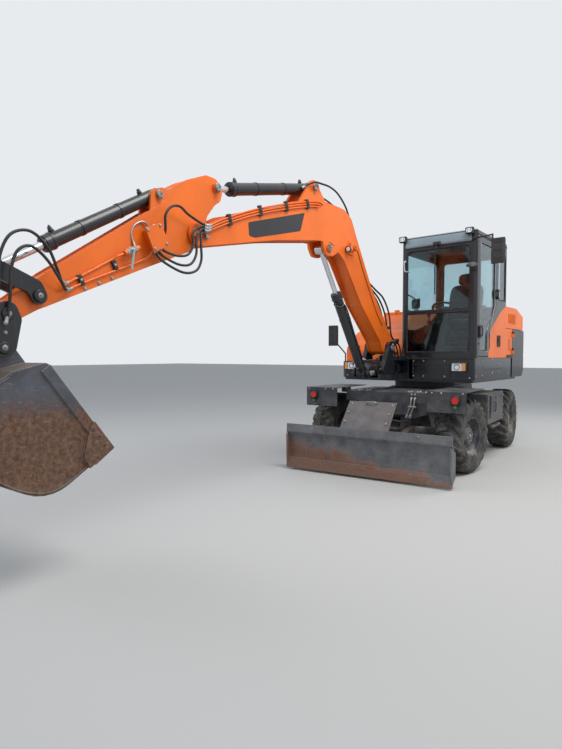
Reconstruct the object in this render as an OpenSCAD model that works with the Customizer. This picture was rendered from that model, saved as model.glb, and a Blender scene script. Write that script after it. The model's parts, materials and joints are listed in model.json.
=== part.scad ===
/* [Undercarriage] */
// Distance from the swing axis to the middle of the machine's length
swing_y = 2140; // [2080:5:2200]
// Distance from the middle of the machine's width to the swing axis
swing_x = -21; // [-60:5:60]
// Distance between the two axles
wheelbase = 2100; // [1900:10:2300]
// Distance between the two wheels of one axle
track = 1600; // [1500:10:1700]
// Outer diameter of a tyre
tyre_d = 842; // [800:2:880]
// Width of a tyre
tyre_w = 306; // [280:2:320]
// Diameter of the rim where the tyre seats
rim_d = 424; // [400:2:450]
// Distance from the middle of a wheel inwards to its kingpin
kingpin_in = 200; // [180:5:230]
// Angle that the front wheels are turned to the right
steer_rest = 10; // [0:1:15]
// Width of the chassis beam
beam_w = 620; // [560:10:680]
// Height of the chassis top plate
chassis_top = 905; // [890:5:930]
// Height of the underside of the chassis beam
beam_low = 520; // [500:5:560]
// Distance from the middle of the chassis to its front plate
chassis_front = 1410; // [1390:5:1440]
// Width of the chassis front plate
nose_w = 1000; // [900:10:1020]
// Radius of an axle tube
axle_r = 62; // [55:1:75]
// Radius of a differential housing
diff_r = 150; // [120:5:170]

/* [Fenders and steps] */
// Distance from the middle of the machine to a fender's outer edge
fender_out = 965; // [940:5:1000]
// Distance from the middle of the machine to a fender's inner edge
fender_in = 545; // [520:5:570]
// Distance from the swing axis to a fender's front flap
fender_front = 1570; // [1530:5:1620]
// Height of a fender's top plate
fender_top = 940; // [920:5:960]
// Length of a side step box
step_l = 900; // [700:10:940]
// Height of a side step box
step_h = 370; // [300:10:400]

/* [Blade] */
// Width of the blade
blade_w = 1920; // [1800:10:2000]
// Height of the blade's mouldboard
blade_h = 410; // [360:10:450]
// Height of the lip above the mouldboard
blade_lip = 95; // [60:5:120]
// Clearance of the blade above the ground at rest
blade_gap = 30; // [20:5:120]
// Distance from the swing axis to the blade's face
blade_front = 2032; // [1980:5:2080]
// Distance from the swing axis to the blade pivot
blade_pivot_y = 1330; // [1300:5:1380]
// Height of the blade pivot
blade_pivot_z = 470; // [440:5:500]
// Width over the two blade arms
blade_arm_w = 620; // [520:10:660]

/* [Upper structure] */
// Angle that the upper structure is swung to the left, negative to the right
swing_rest = -5.5; // [-30:0.5:30]
// Half width of the upper structure
upper_hw = 922; // [900:2:940]
// Radius of the tail about the swing axis
tail_r = 1650; // [1600:10:1700]
// Height of the underside of the upper structure
deck_z = 1000; // [990:5:1020]
// Thickness of the deck plate
deck_t = 30; // [20:2:40]
// Height of the cab floor line
cab_z = 1300; // [1280:5:1320]
// Distance from the swing axis to the front of the lower covers
cover_front = 720; // [700:5:740]
// Height of the top of the engine hood
hood_z = 1990; // [1900:10:2050]
// Distance from the swing axis to the rear wall of the cab
cab_rear = 500; // [460:5:540]

/* [Cab] */
// Distance from the swing axis to the cab's right side, negative to the right
cab_right = -30; // [-60:5:0]
// Width of the cab
cab_w = 960; // [900:5:1000]
// Distance from the swing axis to the cab's front
cab_front = 670; // [640:5:700]
// Height of the top of the cab
cab_top = 2842; // [2780:2:2880]
// Thickness of the cab's walls
cab_t = 45; // [35:1:60]
// Thickness of the glass
glass_t = 6; // [5:1:8]
// Height of the sill of the front window
sill_z = 1365; // [1350:5:1400]
// Height of the head of the windows
head_z = 2640; // [2600:5:2680]
// Height of the bar between the upper and lower front panes
bar_z = 1868; // [1820:5:1900]

/* [Boom chain] */
// Distance from the swing axis forward to the boom swing pin
post_f = 950; // [900:5:1000]
// Distance from the swing axis to the boom's middle plane, negative to the right
post_x = -106; // [-130:2:-60]
// Distance from the boom swing pin forward to the boom foot pin
foot_f = 145; // [120:5:180]
// Height of the boom foot pin
foot_z = 1420; // [1380:5:1460]
// Angle of the line from foot to tip of the boom above level
boom_rest = 15; // [0:1:20]
// Length of the boom from foot pin to tip pin
boom_l = 3238; // [3100:10:3300]
// Width of the boom's box section
boom_w = 200; // [180:5:230]
// Angle of the arm below the line of the boom
arm_rest = -41; // [-60:1:-35]
// Length of the arm from boom tip pin to bucket pin
arm_l = 1600; // [1500:10:1750]
// Width of the arm's box section
arm_w = 150; // [130:5:180]
// Width of the bucket
bucket_w = 640; // [500:10:760]
// Thickness of the bucket's plates
bucket_t = 14; // [10:1:20]
// Radius of the main pins
pin_r = 26; // [22:1:30]
// Radius of the bosses round the main pins
boss_r = 58; // [50:1:66]
// Radius of the boom, arm and bucket cylinder barrels
barrel_r = 54; // [48:1:60]
// Radius of their rods
rod_r = 26; // [22:1:30]

/* [Hidden] */
$fn = 64;
orange = [0.94, 0.36, 0.07];
charcoal = [0.16, 0.17, 0.20];
black = [0.06, 0.06, 0.07];
steel = [0.75, 0.76, 0.78];
worn = [0.36, 0.29, 0.25];
pale_glass = [0.6, 0.75, 0.75, 0.4];

// Play between a pin or rod and its bore
play = 0.3;
// Gap between pieces that move past each other
gap = 6;
// Overshoot of a cut past the face it opens
cut = 2;

hub_z = tyre_d / 2;
axle_y = wheelbase / 2;
wheel_x = track / 2;
kingpin_x = wheel_x - kingpin_in;

// Rounded outlines: each point is [along, up, corner radius]
function unit(v) = v / norm(v);
function arc_corner(a, b, c, r, n) =
    let (u = unit(a - b), v = unit(c - b), half = acos(max(-1, min(1, u * v))) / 2)
    let (mid = b + unit(u + v) * r / sin(half), s = b + u * r / tan(half) - mid)
    let (e = b + v * r / tan(half) - mid, turn = (180 - 2 * half) * sign(cross(s, e)))
    [for (k = [0:n]) mid + [s.x * cos(turn * k / n) - s.y * sin(turn * k / n),
        s.x * sin(turn * k / n) + s.y * cos(turn * k / n)]];
function flat(p) = [p[0], p[1]];
function bends(a, b, c) = norm(unit(a - b) + unit(c - b)) > 0.01;
function rounded(p, n = 5) = let (m = len(p)) [for (i = [0:m - 1])
    let (a = flat(p[(i + m - 1) % m]), b = flat(p[i]), c = flat(p[(i + 1) % m]),
    r = len(p[i]) > 2 ? p[i][2] : 0)
    each (r > 0 && bends(a, b, c) ? arc_corner(a, b, c, r, n) : [b])];

// An outline drawn anticlockwise, moved inwards by d; a third number stays as the corner's radius
function inset(p, d) = let (m = len(p)) [for (i = [0:m - 1])
    let (a = flat(p[(i + m - 1) % m]), b = flat(p[i]), c = flat(p[(i + 1) % m]))
    let (u = unit(b - a), v = unit(c - b), side = unit([-u.y - v.y, u.x + v.x]))
    let (q = b + side * d / (side * [-u.y, u.x]))
    [q.x, q.y, len(p[i]) > 2 ? p[i][2] : 0]];
function rectangle(x0, x1, y0, y1, r) = rounded([[x0, y0, r], [x1, y0, r], [x1, y1, r], [x0, y1, r]]);

// A side profile, drawn as [forward, up], given a width across the machine
module side_slab(w) rotate([90, 0, -90]) linear_extrude(w, center = true) children();
module across(r, l) rotate([0, 90, 0]) cylinder(r = r, h = l, center = true);
module at(f, z) translate([0, -f, z]) children();
module both_sides(x) for (s = [-1, 1]) translate([s * x, 0, 0]) children();
module mirrored() { children(); mirror([1, 0, 0]) children(); }
module block(x0, x1, y0, y1, z0, z1) translate([x0, y0, z0]) cube([x1 - x0, y1 - y0, z1 - z0]);
module rod(a, b, r) translate(a) rotate([0, acos((b.z - a.z) / norm(b - a)), atan2(b.y - a.y, b.x - a.x)])
    cylinder(r = r, h = norm(b - a));
module rounded_block(x0, x1, y0, y1, z0, z1, r)
    translate([0, 0, z0]) linear_extrude(z1 - z0)
        polygon(rectangle(x0, x1, y0, y1, r));
// A pane seen from the front, or from the left side, with rounded corners
module front_pane(x0, x1, z0, z1, y, t, r) translate([0, y + t, 0]) rotate([90, 0, 0])
    linear_extrude(t) polygon(rectangle(x0, x1, z0, z1, r));
module side_pane(x, t, y0, y1, z0, z1, r) translate([x, 0, 0]) rotate([90, 0, 90])
    linear_extrude(t) polygon(rectangle(y0, y1, z0, z1, r));

// Where each group stands
module machine() translate([swing_x, swing_y, 0]) children();
module on_upper() machine() rotate([0, 0, swing_rest]) children();
module on_post() on_upper() translate([post_x, -post_f, 0]) children();
module on_boom() on_post() at(foot_f, foot_z) rotate([-boom_rest, 0, 0]) children();
module on_arm() on_boom() at(boom_l, 0) rotate([-arm_rest, 0, 0]) children();
module knuckle_place(s) machine() translate([s * kingpin_x, -axle_y, hub_z]) rotate([0, 0, -steer_rest])
    children();
module rear_place(s) machine() translate([s * kingpin_x, axle_y, hub_z]) children();
// From one pin towards another, with the way between them as forward
module towards(a, b) at(a[0], a[1]) rotate([-atan2(b[1] - a[1], b[0] - a[0]), 0, 0]) children();

// Pins of the boom chain, each [forward, up] in the frame of the piece that holds it
boom_cyl_low = [560, 1120];
boom_cyl_top = [1514, 642];
arm_cyl_base = [1899, 1120];
arm_cyl_rod = [-402, 263];
bucket_cyl_base = [188, 330];
rocker_pin = [1369, 20];
rocker_top = [1583, 244];
crank_pin = [1852, 4];
function turned(p, a) = [p[0] * cos(a) - p[1] * sin(a), p[0] * sin(a) + p[1] * cos(a)];
boom_cyl_top_post = [foot_f, foot_z] + turned(boom_cyl_top, boom_rest);
arm_cyl_rod_boom = [boom_l, 0] + turned(arm_cyl_rod, arm_rest);

module chassis_frame() color(charcoal) machine() {
    side_slab(beam_w) polygon(rounded([[-1330, beam_low + 60, 40], [-1330, chassis_top - 30, 40],
        [-1240, chassis_top, 40], [chassis_front - 40, chassis_top, 20], [chassis_front, chassis_top - 30,
        20],
        [chassis_front, 640, 20], [1300, 600, 30], [760, 600, 60], [640, beam_low - 110, 60],
        [-640, beam_low - 110, 60], [-760, 600, 60], [-1240, 600, 30]]));
    block(-nose_w / 2, nose_w / 2, -chassis_front, -chassis_front + 150, 790, chassis_top);
    block(-420, 420, -520, 520, beam_low - 60, chassis_top - 20);
    translate([0, 0, 800]) cylinder(r = 415, h = chassis_top - 800);
    both_sides(blade_arm_x - blade_arm_t - gap) side_slab(blade_arm_t)
        polygon(rounded([[1200, 640], [1230, 420, 40], [1290, 395, 40], [1380, 395, 60], [1400, 480, 40],
        [1390, 660]]));
    at(blade_pivot_y, blade_pivot_z) across(pin_r, 2 * blade_arm_x + blade_arm_t);
    difference() {
        for (z = [640, 710]) translate([0, 0, z]) linear_extrude(25)
            polygon(rounded([[-70, 1320], [70, 1320], [70, 1480, 60], [-70, 1480, 60]]));
        translate([0, tow_y, 600]) cylinder(r = tow_r, h = 200);
    }
    both_sides(290) difference() {
        side_slab(20) polygon(rounded([[-1310, 720], [-1390, 720, 35], [-1390, 800, 35], [-1310, 800]]));
        at(-lash_y, 760) across(lash_r, 40);
    }
    for (x = [-56, 56]) translate([x, 0, 0]) side_slab(24) polygon(rounded([[chassis_front - 10, 620],
        [chassis_front - 10, 780], [blade_cyl_top[0] + 20, 750, 30], [blade_cyl_top[0] + 42, 700, 30],
        [blade_cyl_top[0] + 20, 650, 30]]));
    at(blade_cyl_top[0], blade_cyl_top[1]) across(20, 150);
}

module axle_beam() {
    across(axle_r, 2 * kingpin_x - 120);
    rotate([90, 0, 0]) cylinder(r = diff_r, h = 2 * diff_half, center = true);
    intersection() {
        sphere(r = diff_r + 12);
        cube([500, 2 * diff_face, 500], center = true);
    }
}

module front_axle() color(charcoal) machine() translate([0, -axle_y, hub_z]) {
    difference() {
        union() {
            axle_beam();
            both_sides(kingpin_x) cylinder(r = 42, h = 112, center = true);
            both_sides(kingpin_x - 50) block(-30, 30, -38, 38, -45, 45);
        }
        both_sides(kingpin_x) cylinder(r = 20 + play, h = 200, center = true);
    }
    block(-60, 60, -60, 60, diff_r - 40, 178.7);
}

module rear_axle() color(charcoal) machine() translate([0, axle_y, hub_z]) {
    axle_beam();
    both_sides(kingpin_x - 55) across(110, 110);
    both_sides(kingpin_x + 60) across(85, 211.4);
    both_sides(230) block(-50, 50, -60, 60, 0, 178.7);
}

// The gearbox hangs under the chassis and drives both axles through a shaft with a joint at each end
shaft_r = 26;
shaft_z = [330, 378];
diff_half = 75;
diff_face = 105;
shaft_gap = 5;
module drive_shaft(y0, y1) {
    slope = (shaft_z[1] - shaft_z[0]) / (y1 - y0);
    rod([0, y0, shaft_z[0]], [0, y1, shaft_z[1]], shaft_r);
    for (y = [y0 + sign(y1 - y0) * 40, y1 - sign(y1 - y0) * 40])
        translate([0, y, shaft_z[0] + slope * (y - y0)]) rotate([90, 0, 0])
            cylinder(r = shaft_r + 18, h = 44, center = true);
}
module drive_gearbox() color(black) machine() {
    block(-150, 150, 350, 640, 250, 405);
    translate([0, 495, 404]) cylinder(r = 120, h = 5.7);
    drive_shaft(351, diff_face - axle_y + shaft_gap);
    drive_shaft(639, axle_y - diff_face - shaft_gap);
}

module front_fenders() color(charcoal) machine() mirrored() {
    t = 6;
    translate([0, 0, fender_top - t]) linear_extrude(t)
        polygon(rounded([[fender_in, -fender_front, 20], [fender_out, -fender_front, 20],
            [fender_out, -axle_y + 330, 60], [fender_in, -axle_y + 330, 20]]));
    block(fender_in, fender_out, -fender_front, -fender_front + t, 715, fender_top - 1);
    block(nose_w / 2 + 0.3, fender_in + 40, -1370, -1290, 880, fender_top - 1);
}

module fender_lamps() color("red") machine() mirrored()
    translate([fender_out - 110, -fender_front - 0.3, 850]) rotate([90, 0, 0]) cylinder(r = 38, h = 28);

step_out = wheel_x + 140;
rung_z = 440;
module side_steps() color(charcoal) machine() mirrored() {
    difference() {
        rounded_block(420.3, step_out, -step_l / 2, step_l / 2, 850 - step_h, 850, 18);
        block(step_out - 12, step_out + cut, -step_l / 2 + 30, -step_l / 2 + 34, 880 - step_h, 820);
        block(step_out - 12, step_out + cut, step_l / 2 - 34, step_l / 2 - 30, 880 - step_h, 820);
        block(step_out - 40, step_out + cut, -step_l / 2 + 70, -step_l / 2 + 180, 900 - step_h, 820);
    }
    for (y = [-180, 180]) block(step_out - 60, step_out - 40, y - 20, y + 20, rung_z, 851 - step_h);
    rounded_block(step_out - 110, step_out + 10, -230, 230, rung_z - 24, rung_z + 1, 12);
}

module swing_bearing() color(black) machine() difference() {
    translate([0, 0, chassis_top + 0.3]) cylinder(r = 400, h = deck_z - chassis_top - 2 * play);
    translate([0, 0, chassis_top - cut]) cylinder(r = 300, h = 200);
}

module knuckle() color(charcoal) {
    for (z = [-112, 62]) translate([0, 0, z]) cylinder(r = 45, h = 50);
    cylinder(r = 20, h = 224, center = true);
    block(52, 100, -70, 70, -112, 112);
    for (z = [-112, 62]) block(0, 60, -45, 45, z, z + 50);
    translate([100, 0, 0]) rotate([0, 90, 0]) cylinder(r = 105, h = 65.7);
}

module front_left_knuckle() knuckle_place(1) knuckle();
module front_right_knuckle() knuckle_place(-1) mirror([1, 0, 0]) knuckle();

module tyre() color(black) translate([kingpin_in, 0, 0]) rotate([0, 90, 0]) {
    r = tyre_d / 2;
    w = tyre_w / 2;
    b = rim_d / 2;
    rotate_extrude() polygon(rounded([[b + play, -115], [b + 40, -w + 14, 20], [r - 110, -w, 60],
        [r - 24, -w + 20, 30], [r, -w + 60, 20],
        [r, w - 60, 20], [r - 24, w - 20, 30], [r - 110, w, 60], [b + 40, w - 14, 20], [b + play, 115]]));
}
module rim() color(steel) translate([kingpin_in, 0, 0]) rotate([0, 90, 0]) {
    b = rim_d / 2;
    rotate_extrude() polygon(rounded([[0, -34], [112, -34, 6], [112, 0], [b - 14, 0, 10], [b - 14, -115],
        [b, -115],
        [b, 115], [b - 14, 115], [b - 14, 14, 10], [116, 30, 10], [105, 75, 8], [80, 95, 10], [0, 95]]));
}
module front_left_tyre() knuckle_place(1) tyre();
module front_left_rim() knuckle_place(1) rim();
module front_right_tyre() knuckle_place(-1) mirror([1, 0, 0]) tyre();
module front_right_rim() knuckle_place(-1) mirror([1, 0, 0]) rim();
module rear_left_tyre() rear_place(1) tyre();
module rear_left_rim() rear_place(1) rim();
module rear_right_tyre() rear_place(-1) mirror([1, 0, 0]) tyre();
module rear_right_rim() rear_place(-1) mirror([1, 0, 0]) rim();

tow_r = 16;
tow_y = 1420;
lash_r = 18;
lash_y = 1350;
blade_arm_t = 60;
blade_arm_x = blade_arm_w / 2 - blade_arm_t / 2;
blade_cyl_low = [blade_front - 110, 330];
blade_cyl_top = [1475, 700];
// Height of the bolted cutting edge, and where the ribs stand behind the mouldboard
edge_h = 110;
blade_ribs = [450, 720];
module blade() color(worn) machine() {
    top = blade_gap + blade_h;
    f = blade_front;
    side_slab(blade_w) polygon(rounded([[f - 15, blade_gap], [f, blade_gap], [f - 45, blade_gap + 150, 200],
        [f - 40, top - 60, 200], [f + 12, top, 30], [f + 2, top + blade_lip, 4], [f - 8, top + blade_lip,
        4],
        [f - 4, top + 10, 30], [f - 60, top - 60, 160], [f - 64, blade_gap + 150, 160],
        [f - 28, blade_gap + 20]]));
    side_slab(blade_w - 2) polygon([[f + 4, blade_gap - 8], [f + 16, blade_gap],
        [f - 14, blade_gap + edge_h],
        [f - 34, blade_gap + edge_h - 4], [f - 10, blade_gap]]);
    side_slab(blade_w - 44) polygon([[f - 50, blade_gap + 120], [f - 50, blade_gap + 240],
        [f - 150, blade_gap + 220], [f - 150, blade_gap + 140]]);
    for (x = blade_ribs) both_sides(x) side_slab(14) polygon([[f - 22, blade_gap + 20], [f - 52, top - 60],
        [f - 130, top - 90], [f - 150, blade_gap + 180], [f - 90, blade_gap + 30]]);
    both_sides(blade_w / 2 - 10) side_slab(20) polygon([[f + 10, blade_gap], [f + 20, top - 20],
        [f - 110, top - 80], [f - 110, blade_gap + 80]]);
    difference() {
        both_sides(blade_arm_x) side_slab(blade_arm_t)
            polygon(rounded([[blade_pivot_y - 60, blade_pivot_z - 60, 50],
            [f - 50, 110], [f - 50, 380], [f - 260, 420, 60], [blade_pivot_y - 60, blade_pivot_z + 60,
            50]]));
        at(blade_pivot_y, blade_pivot_z) across(pin_r + play, 1000);
    }
    for (x = [-65, 65]) translate([x, 0, 0]) side_slab(24) polygon(rounded([[f - 50, 240], [f - 50, 420],
        [blade_cyl_low[0] - 50, 390, 40], [blade_cyl_low[0] - 50, 270, 40]]));
    side_slab(560) polygon([[f - 10, top + 40], [f - 2, top + 70], [f - 265, 812], [f - 275, 802]]);
    both_sides(250) side_slab(16) polygon([[f - 7, top + 46], [f - 30, top - 40], [f - 60, top - 60],
        [f - 150, top + 120], [f - 150, top + 217]]);
}

// A hydraulic cylinder, lying forward from its base pin: the barrel with its eye, then the rod with its eye
module ram_barrel(r, rod, length, eye_r, pin, eye_w, start) {
    difference() {
        union() {
            across(eye_r, eye_w);
            rotate([90, 0, 0]) translate([0, 0, eye_r * 0.5]) cylinder(r = r, h = length - eye_r * 0.5);
            rotate([90, 0, 0]) translate([0, 0, length - 60]) cylinder(r = r + 6, h = 60);
        }
        rotate([90, 0, 0]) translate([0, 0, start]) cylinder(r = rod + play, h = length);
        across(pin + play, eye_w + cut);
    }
}
module ram_rod(rod, from, pin_to_pin, eye_r, eye_w) {
    rotate([90, 0, 0]) translate([0, 0, from]) cylinder(r = rod, h = pin_to_pin - from - eye_r * 0.6);
    at(pin_to_pin, 0) across(eye_r, eye_w);
}

module on_blade_ram() machine() towards(blade_cyl_top, blade_cyl_low) children();
blade_ram_l = norm(blade_cyl_low - blade_cyl_top);
module blade_barrel() color(black) on_blade_ram() ram_barrel(42, 22, 360, 40, 20, 70, 60);
module blade_rod() color(steel) on_blade_ram() ram_rod(22, 195, blade_ram_l, 40, 70);

module upper_frame() color(charcoal) on_upper() {
    inset = cover_t + play;
    translate([0, 0, deck_z]) linear_extrude(deck_t) difference() {
        intersection() {
            polygon(rounded([[-upper_hw + inset, -cover_front + inset, 95], [upper_hw - inset,
                -cover_front + inset, 40],
                [upper_hw - inset, 1400], [-upper_hw + inset, 1400]]));
            circle(r = tail_r - 270, $fn = 128);
        }
        circle(r = 120);
    }
    for (x = [-150, 150]) block(post_x + x - 12, post_x + x + 12, -cover_front + 20, 600,
        deck_z + deck_t - 1, 1140);
    for (z = lug_z) difference() {
        translate([0, 0, z]) linear_extrude(lug_t) polygon(rounded([[post_x - 70, -post_f - 70, 69],
            [post_x + 70, -post_f - 70, 69], [post_x + 202, -cover_front + 40],
            [post_x - 202, -cover_front + 40]]));
        translate([post_x, -post_f, z - cut]) cylinder(r = 40 + play, h = 70);
    }
    difference() {
        block(post_x - 202, post_x + 202, -cover_front + 10, -cover_front + 40, deck_z + deck_t - 1,
            lug_z[1] + lug_t);
        block(post_x - 240, post_x - 84, -cover_front, -cover_front + 60, 1125, lug_z[1] - cut);
    }
    translate([swing_ram_base.x, swing_ram_base.y, 0]) {
        translate([0, 0, deck_z + deck_t - 1]) cylinder(r = 50, h = 1152 - deck_z - deck_t);
        translate([0, 0, 1100]) cylinder(r = 20, h = 170);
        translate([0, 0, 1245]) cylinder(r = 50, h = 22);
    }
}

cover_t = 25;
module counterweight() color(charcoal) on_upper() {
    z0 = deck_z + deck_t + play;
    difference() {
        translate([0, 0, z0]) linear_extrude(1690 - z0) difference() {
            intersection() {
                circle(r = tail_r, $fn = 160);
                polygon(rounded([[-upper_hw, 812], [upper_hw, 812], [upper_hw, tail_r, 260],
                    [-upper_hw, tail_r, 260]]));
            }
            intersection() {
                circle(r = tail_r - 260, $fn = 160);
                square([2 * upper_hw - 200, 4000], center = true);
            }
        }
        rotate_extrude($fn = 160) polygon([[tail_r - 70, z0 - cut], [tail_r + cut, z0 - cut],
            [tail_r + cut, z0 + 90]]);
        rotate_extrude($fn = 160) polygon([[tail_r - 24, 1690 + cut], [tail_r + cut, 1690 + cut],
            [tail_r + cut, 1664]]);
        rotate_extrude($fn = 160) polygon([[tail_r - 10, 1330], [tail_r + cut, 1324],
            [tail_r + cut, 1350], [tail_r - 10, 1344]]);
        for (x = [-520, 520]) translate([x, 1480, 1640]) cylinder(r = 26, h = 60);
    }
    mirrored() for (z = side_hinge_z) hinge_leaf(z + 50 + play, 30, 1);
}
side_hinge_z = [1350, 1580];
module hinge_leaf(z, h, side) {
    translate([upper_hw + 16, 800, z]) cylinder(r = 10, h = h);
    block(upper_hw - 8, upper_hw + 16, side > 0 ? 802 : 770, side > 0 ? 830 : 798, z, z + h);
    block(upper_hw + 8, upper_hw + 24, 796, 804, z, z + h);
}

module engine_block() color(black) on_upper() block(-420, 300, 640, 1180, deck_z + deck_t + 0.3, 1600);

module cover_shell(x0, x1, z1, r, side) difference() {
    rounded_block(x0, x1, -cover_front, 800, deck_z + deck_t + play, z1, r);
    rounded_block(x0 + (side > 0 ? -150 : cover_t), x1 + (side > 0 ? -cover_t : 150),
        -cover_front + cover_t, 1200,
        deck_z, z1 - cover_t, r - cover_t);
    block(x0 + (side > 0 ? -cut : cover_t), x1 + (side > 0 ? -cover_t : cut), 520, 1200, deck_z, z1 + cut);
}

module lower_covers() color(charcoal) on_upper() {
    cover_shell(post_x + 230, upper_hw, cab_z - 6, 60, 1);
    cover_shell(-upper_hw, post_x - 330, cab_z - 50, 120, -1);
}

cab_left = cab_right + cab_w;
module cab_shell_outer(z0, z1) rounded_block(cab_right, cab_left, -cab_front, cab_rear, z0, z1, 40);
door_y0 = -600;
door_y1 = 60;
door_z0 = cab_z + 20;
door_z1 = cab_top - 100;
door_low_y = -230;
pillar = 70;
pane_r = 60;
rear_sill_z = 1950;
right_sill_z = 1650;
// The lower and the upper front pane, each [low, high, corner radius]
front_panes = [[sill_z, bar_z - 12, 20], [bar_z + 12, head_z, pane_r]];
function door_outline(g) = rounded([[-door_y0 + g, door_z0 - g, 30], [-door_y0 + g, door_z1 + g, 60],
    [-door_y1 - g, door_z1 + g, 60],
    [-door_y1 - g, 1960, 60], [-door_low_y - g, 1600, 200], [-door_low_y - g, door_z0 - g, 20]]);
module cab_frame() color(charcoal) on_upper() {
    cab_shell();
    for (z = door_hinge_z, e = [-30 - play, 60 + play]) {
        translate([cab_left + 20, door_y1, z + e]) cylinder(r = 12, h = 30);
        block(cab_left - 10, cab_left + 20, door_y1 + 2, door_y1 + 60, z + e, z + e + 30);
        block(cab_left + 12, cab_left + 28, door_y1 - 4, door_y1 + 4, z + e, z + e + 30);
    }
    hood_ear(600, -cab_rear + 10);
}
module cab_shell() difference() {
    cab_shell_outer(cab_z - 5.7, cab_top - 80);
    block(cab_right + cab_t, cab_left - cab_t, -cab_front + cab_t, cab_rear - cab_t, cab_z - 10, cab_top);
    for (z = front_panes) front_pane(cab_right + pillar, cab_left - pillar - 10, z[0], z[1],
        -cab_front - cut, 100, z[2]);
    front_pane(cab_right + 80, cab_left - 80, rear_sill_z, head_z, cab_rear - 100, 102, pane_r);
    side_pane(cab_right - cut, 100, -cab_front + 80, cab_rear - 80, right_sill_z, head_z, pane_r);
    translate([cab_left - 20, 0, 0]) side_slab(120) polygon(door_outline(gap + 2));
    side_pane(cab_left - 80, 82, 120, cab_rear - 60, 2040, head_z, pane_r / 2);
    translate([cab_left - 38 + 100, 0, 0]) side_slab(200) polygon(side_panel(-gap));
}

module cab_roof() color(charcoal) on_upper() {
    intersection() {
        cab_shell_outer(cab_top - 79.7, cab_top);
        side_slab(4000) polygon(rounded([[cab_front + cut, cab_top - 90], [cab_front + cut, cab_top - 40,
            20],
            [cab_front - 60, cab_top - 14, 60], [cab_front - 260, cab_top, 300],
            [-cab_rear + 160, cab_top, 200],
            [-cab_rear + 30, cab_top - 20, 40], [-cab_rear - cut, cab_top - 50, 20],
            [-cab_rear - cut, cab_top - 90]]));
        translate([cab_right + cab_w / 2, 0, 0]) rotate([90, 0, 0]) linear_extrude(4000, center = true)
            polygon(rounded([[-cab_w / 2 - cut, cab_top - 90], [cab_w / 2 + cut, cab_top - 90],
                [cab_w / 2 + cut, cab_top - 40, 20], [cab_w / 2 - 70, cab_top, 80],
                [70 - cab_w / 2, cab_top, 80],
                [-cab_w / 2 - cut, cab_top - 40, 20]]));
    }
}
module cab_floor() color(black) on_upper() rounded_block(cab_right + cab_t + play, cab_left - cab_t - gap,
    -cab_front + cab_t + play, cab_rear - cab_t - play, cab_z - 5.7, cab_z + 39.7, 10);

module cab_glass() color(pale_glass) on_upper() {
    g = 1;
    for (z = front_panes) front_pane(cab_right + pillar + g, cab_left - pillar - 10 - g, z[0] + g, z[1] - g,
        -cab_front + 10, glass_t, z[2] - g);
    front_pane(cab_right + 80 + g, cab_left - 80 - g, rear_sill_z + g, head_z - g, cab_rear - 16, glass_t,
        pane_r - g);
    side_pane(cab_right + 10, glass_t, -cab_front + 80 + g, cab_rear - 80 - g, right_sill_z + g,
        head_z - g, pane_r - g);
    side_pane(cab_left - 16, glass_t, 120 + g, cab_rear - 60 - g, 2040 + g, head_z - g, pane_r / 2 - g);
}

seat_x = 460;
seat_top = 1790;
module operator_seat() color(black) on_upper() translate([seat_x, 0, 0]) {
    side_slab(470) polygon(rounded([[-260, 1690, 30], [-250, seat_top, 30], [130, seat_top + 10, 60],
        [200, seat_top - 20, 50], [200, 1690, 30]]));
    side_slab(450) polygon(rounded([[-150, seat_top - 20, 20], [-246, seat_top - 20, 20],
        [-370, 2280, 30], [-290, 2310, 30]]));
    side_slab(260) polygon(rounded([[-288, 2290, 10], [-360, 2262, 10], [-400, 2450, 26],
        [-330, 2465, 26]]));
    block(-170, 170, -120, 200, cab_z + 40, 1560);
    block(-200, 200, -160, 240, 1560.3, 1689.7);
}
module control_consoles() color(black) on_upper() for (s = [-1, 1]) translate([seat_x + s * 315, 0, 0]) {
    side_slab(110) polygon(rounded([[250, 1620, 30], [260, 1730, 40], [-180, 1760, 40], [-200, 1620, 30]]));
    side_slab(80) polygon([[150, cab_z + 40], [180, 1620.5], [-160, 1620.5], [-140, cab_z + 40]]);
    rod([0, -200, 1735], [0, -215, 1850], 10);
    translate([0, -215, 1845]) rotate([8, 0, 0]) cylinder(r1 = 24, r2 = 30, h = 90);
}
wheel_tilt = 24;
module steering_column() color(black) on_upper() translate([seat_x, 0, 0]) {
    side_slab(90) polygon(rounded([[430, cab_z + 40], [580, cab_z + 40],
        [560, cab_z + 160, 60], [440, 1915, 15], [380, 1890, 15]]));
    translate([0, -400, 1915]) rotate([-wheel_tilt, 0, 0]) {
        rotate_extrude() translate([172, 0]) circle(r = 15);
        cylinder(r = 42, h = 34, center = true);
        for (a = [90, 210, 330]) rotate([0, 0, a]) translate([0, -14, -6]) cube([165, 28, 12]);
    }
    both_sides(100) rotate([90, 0, -90]) linear_extrude(80, center = true)
        polygon([[440, cab_z + 40], [600, cab_z + 40], [600, cab_z + 150], [590, cab_z + 150],
        [570, cab_z + 70]]);
}
module head_lamps() color("white") on_upper() {
    for (x = [755, -745]) rounded_block(x - 90, x + 90, -cover_front - 30, -cover_front - 0.3, 1140, 1240,
        8);
}
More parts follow.
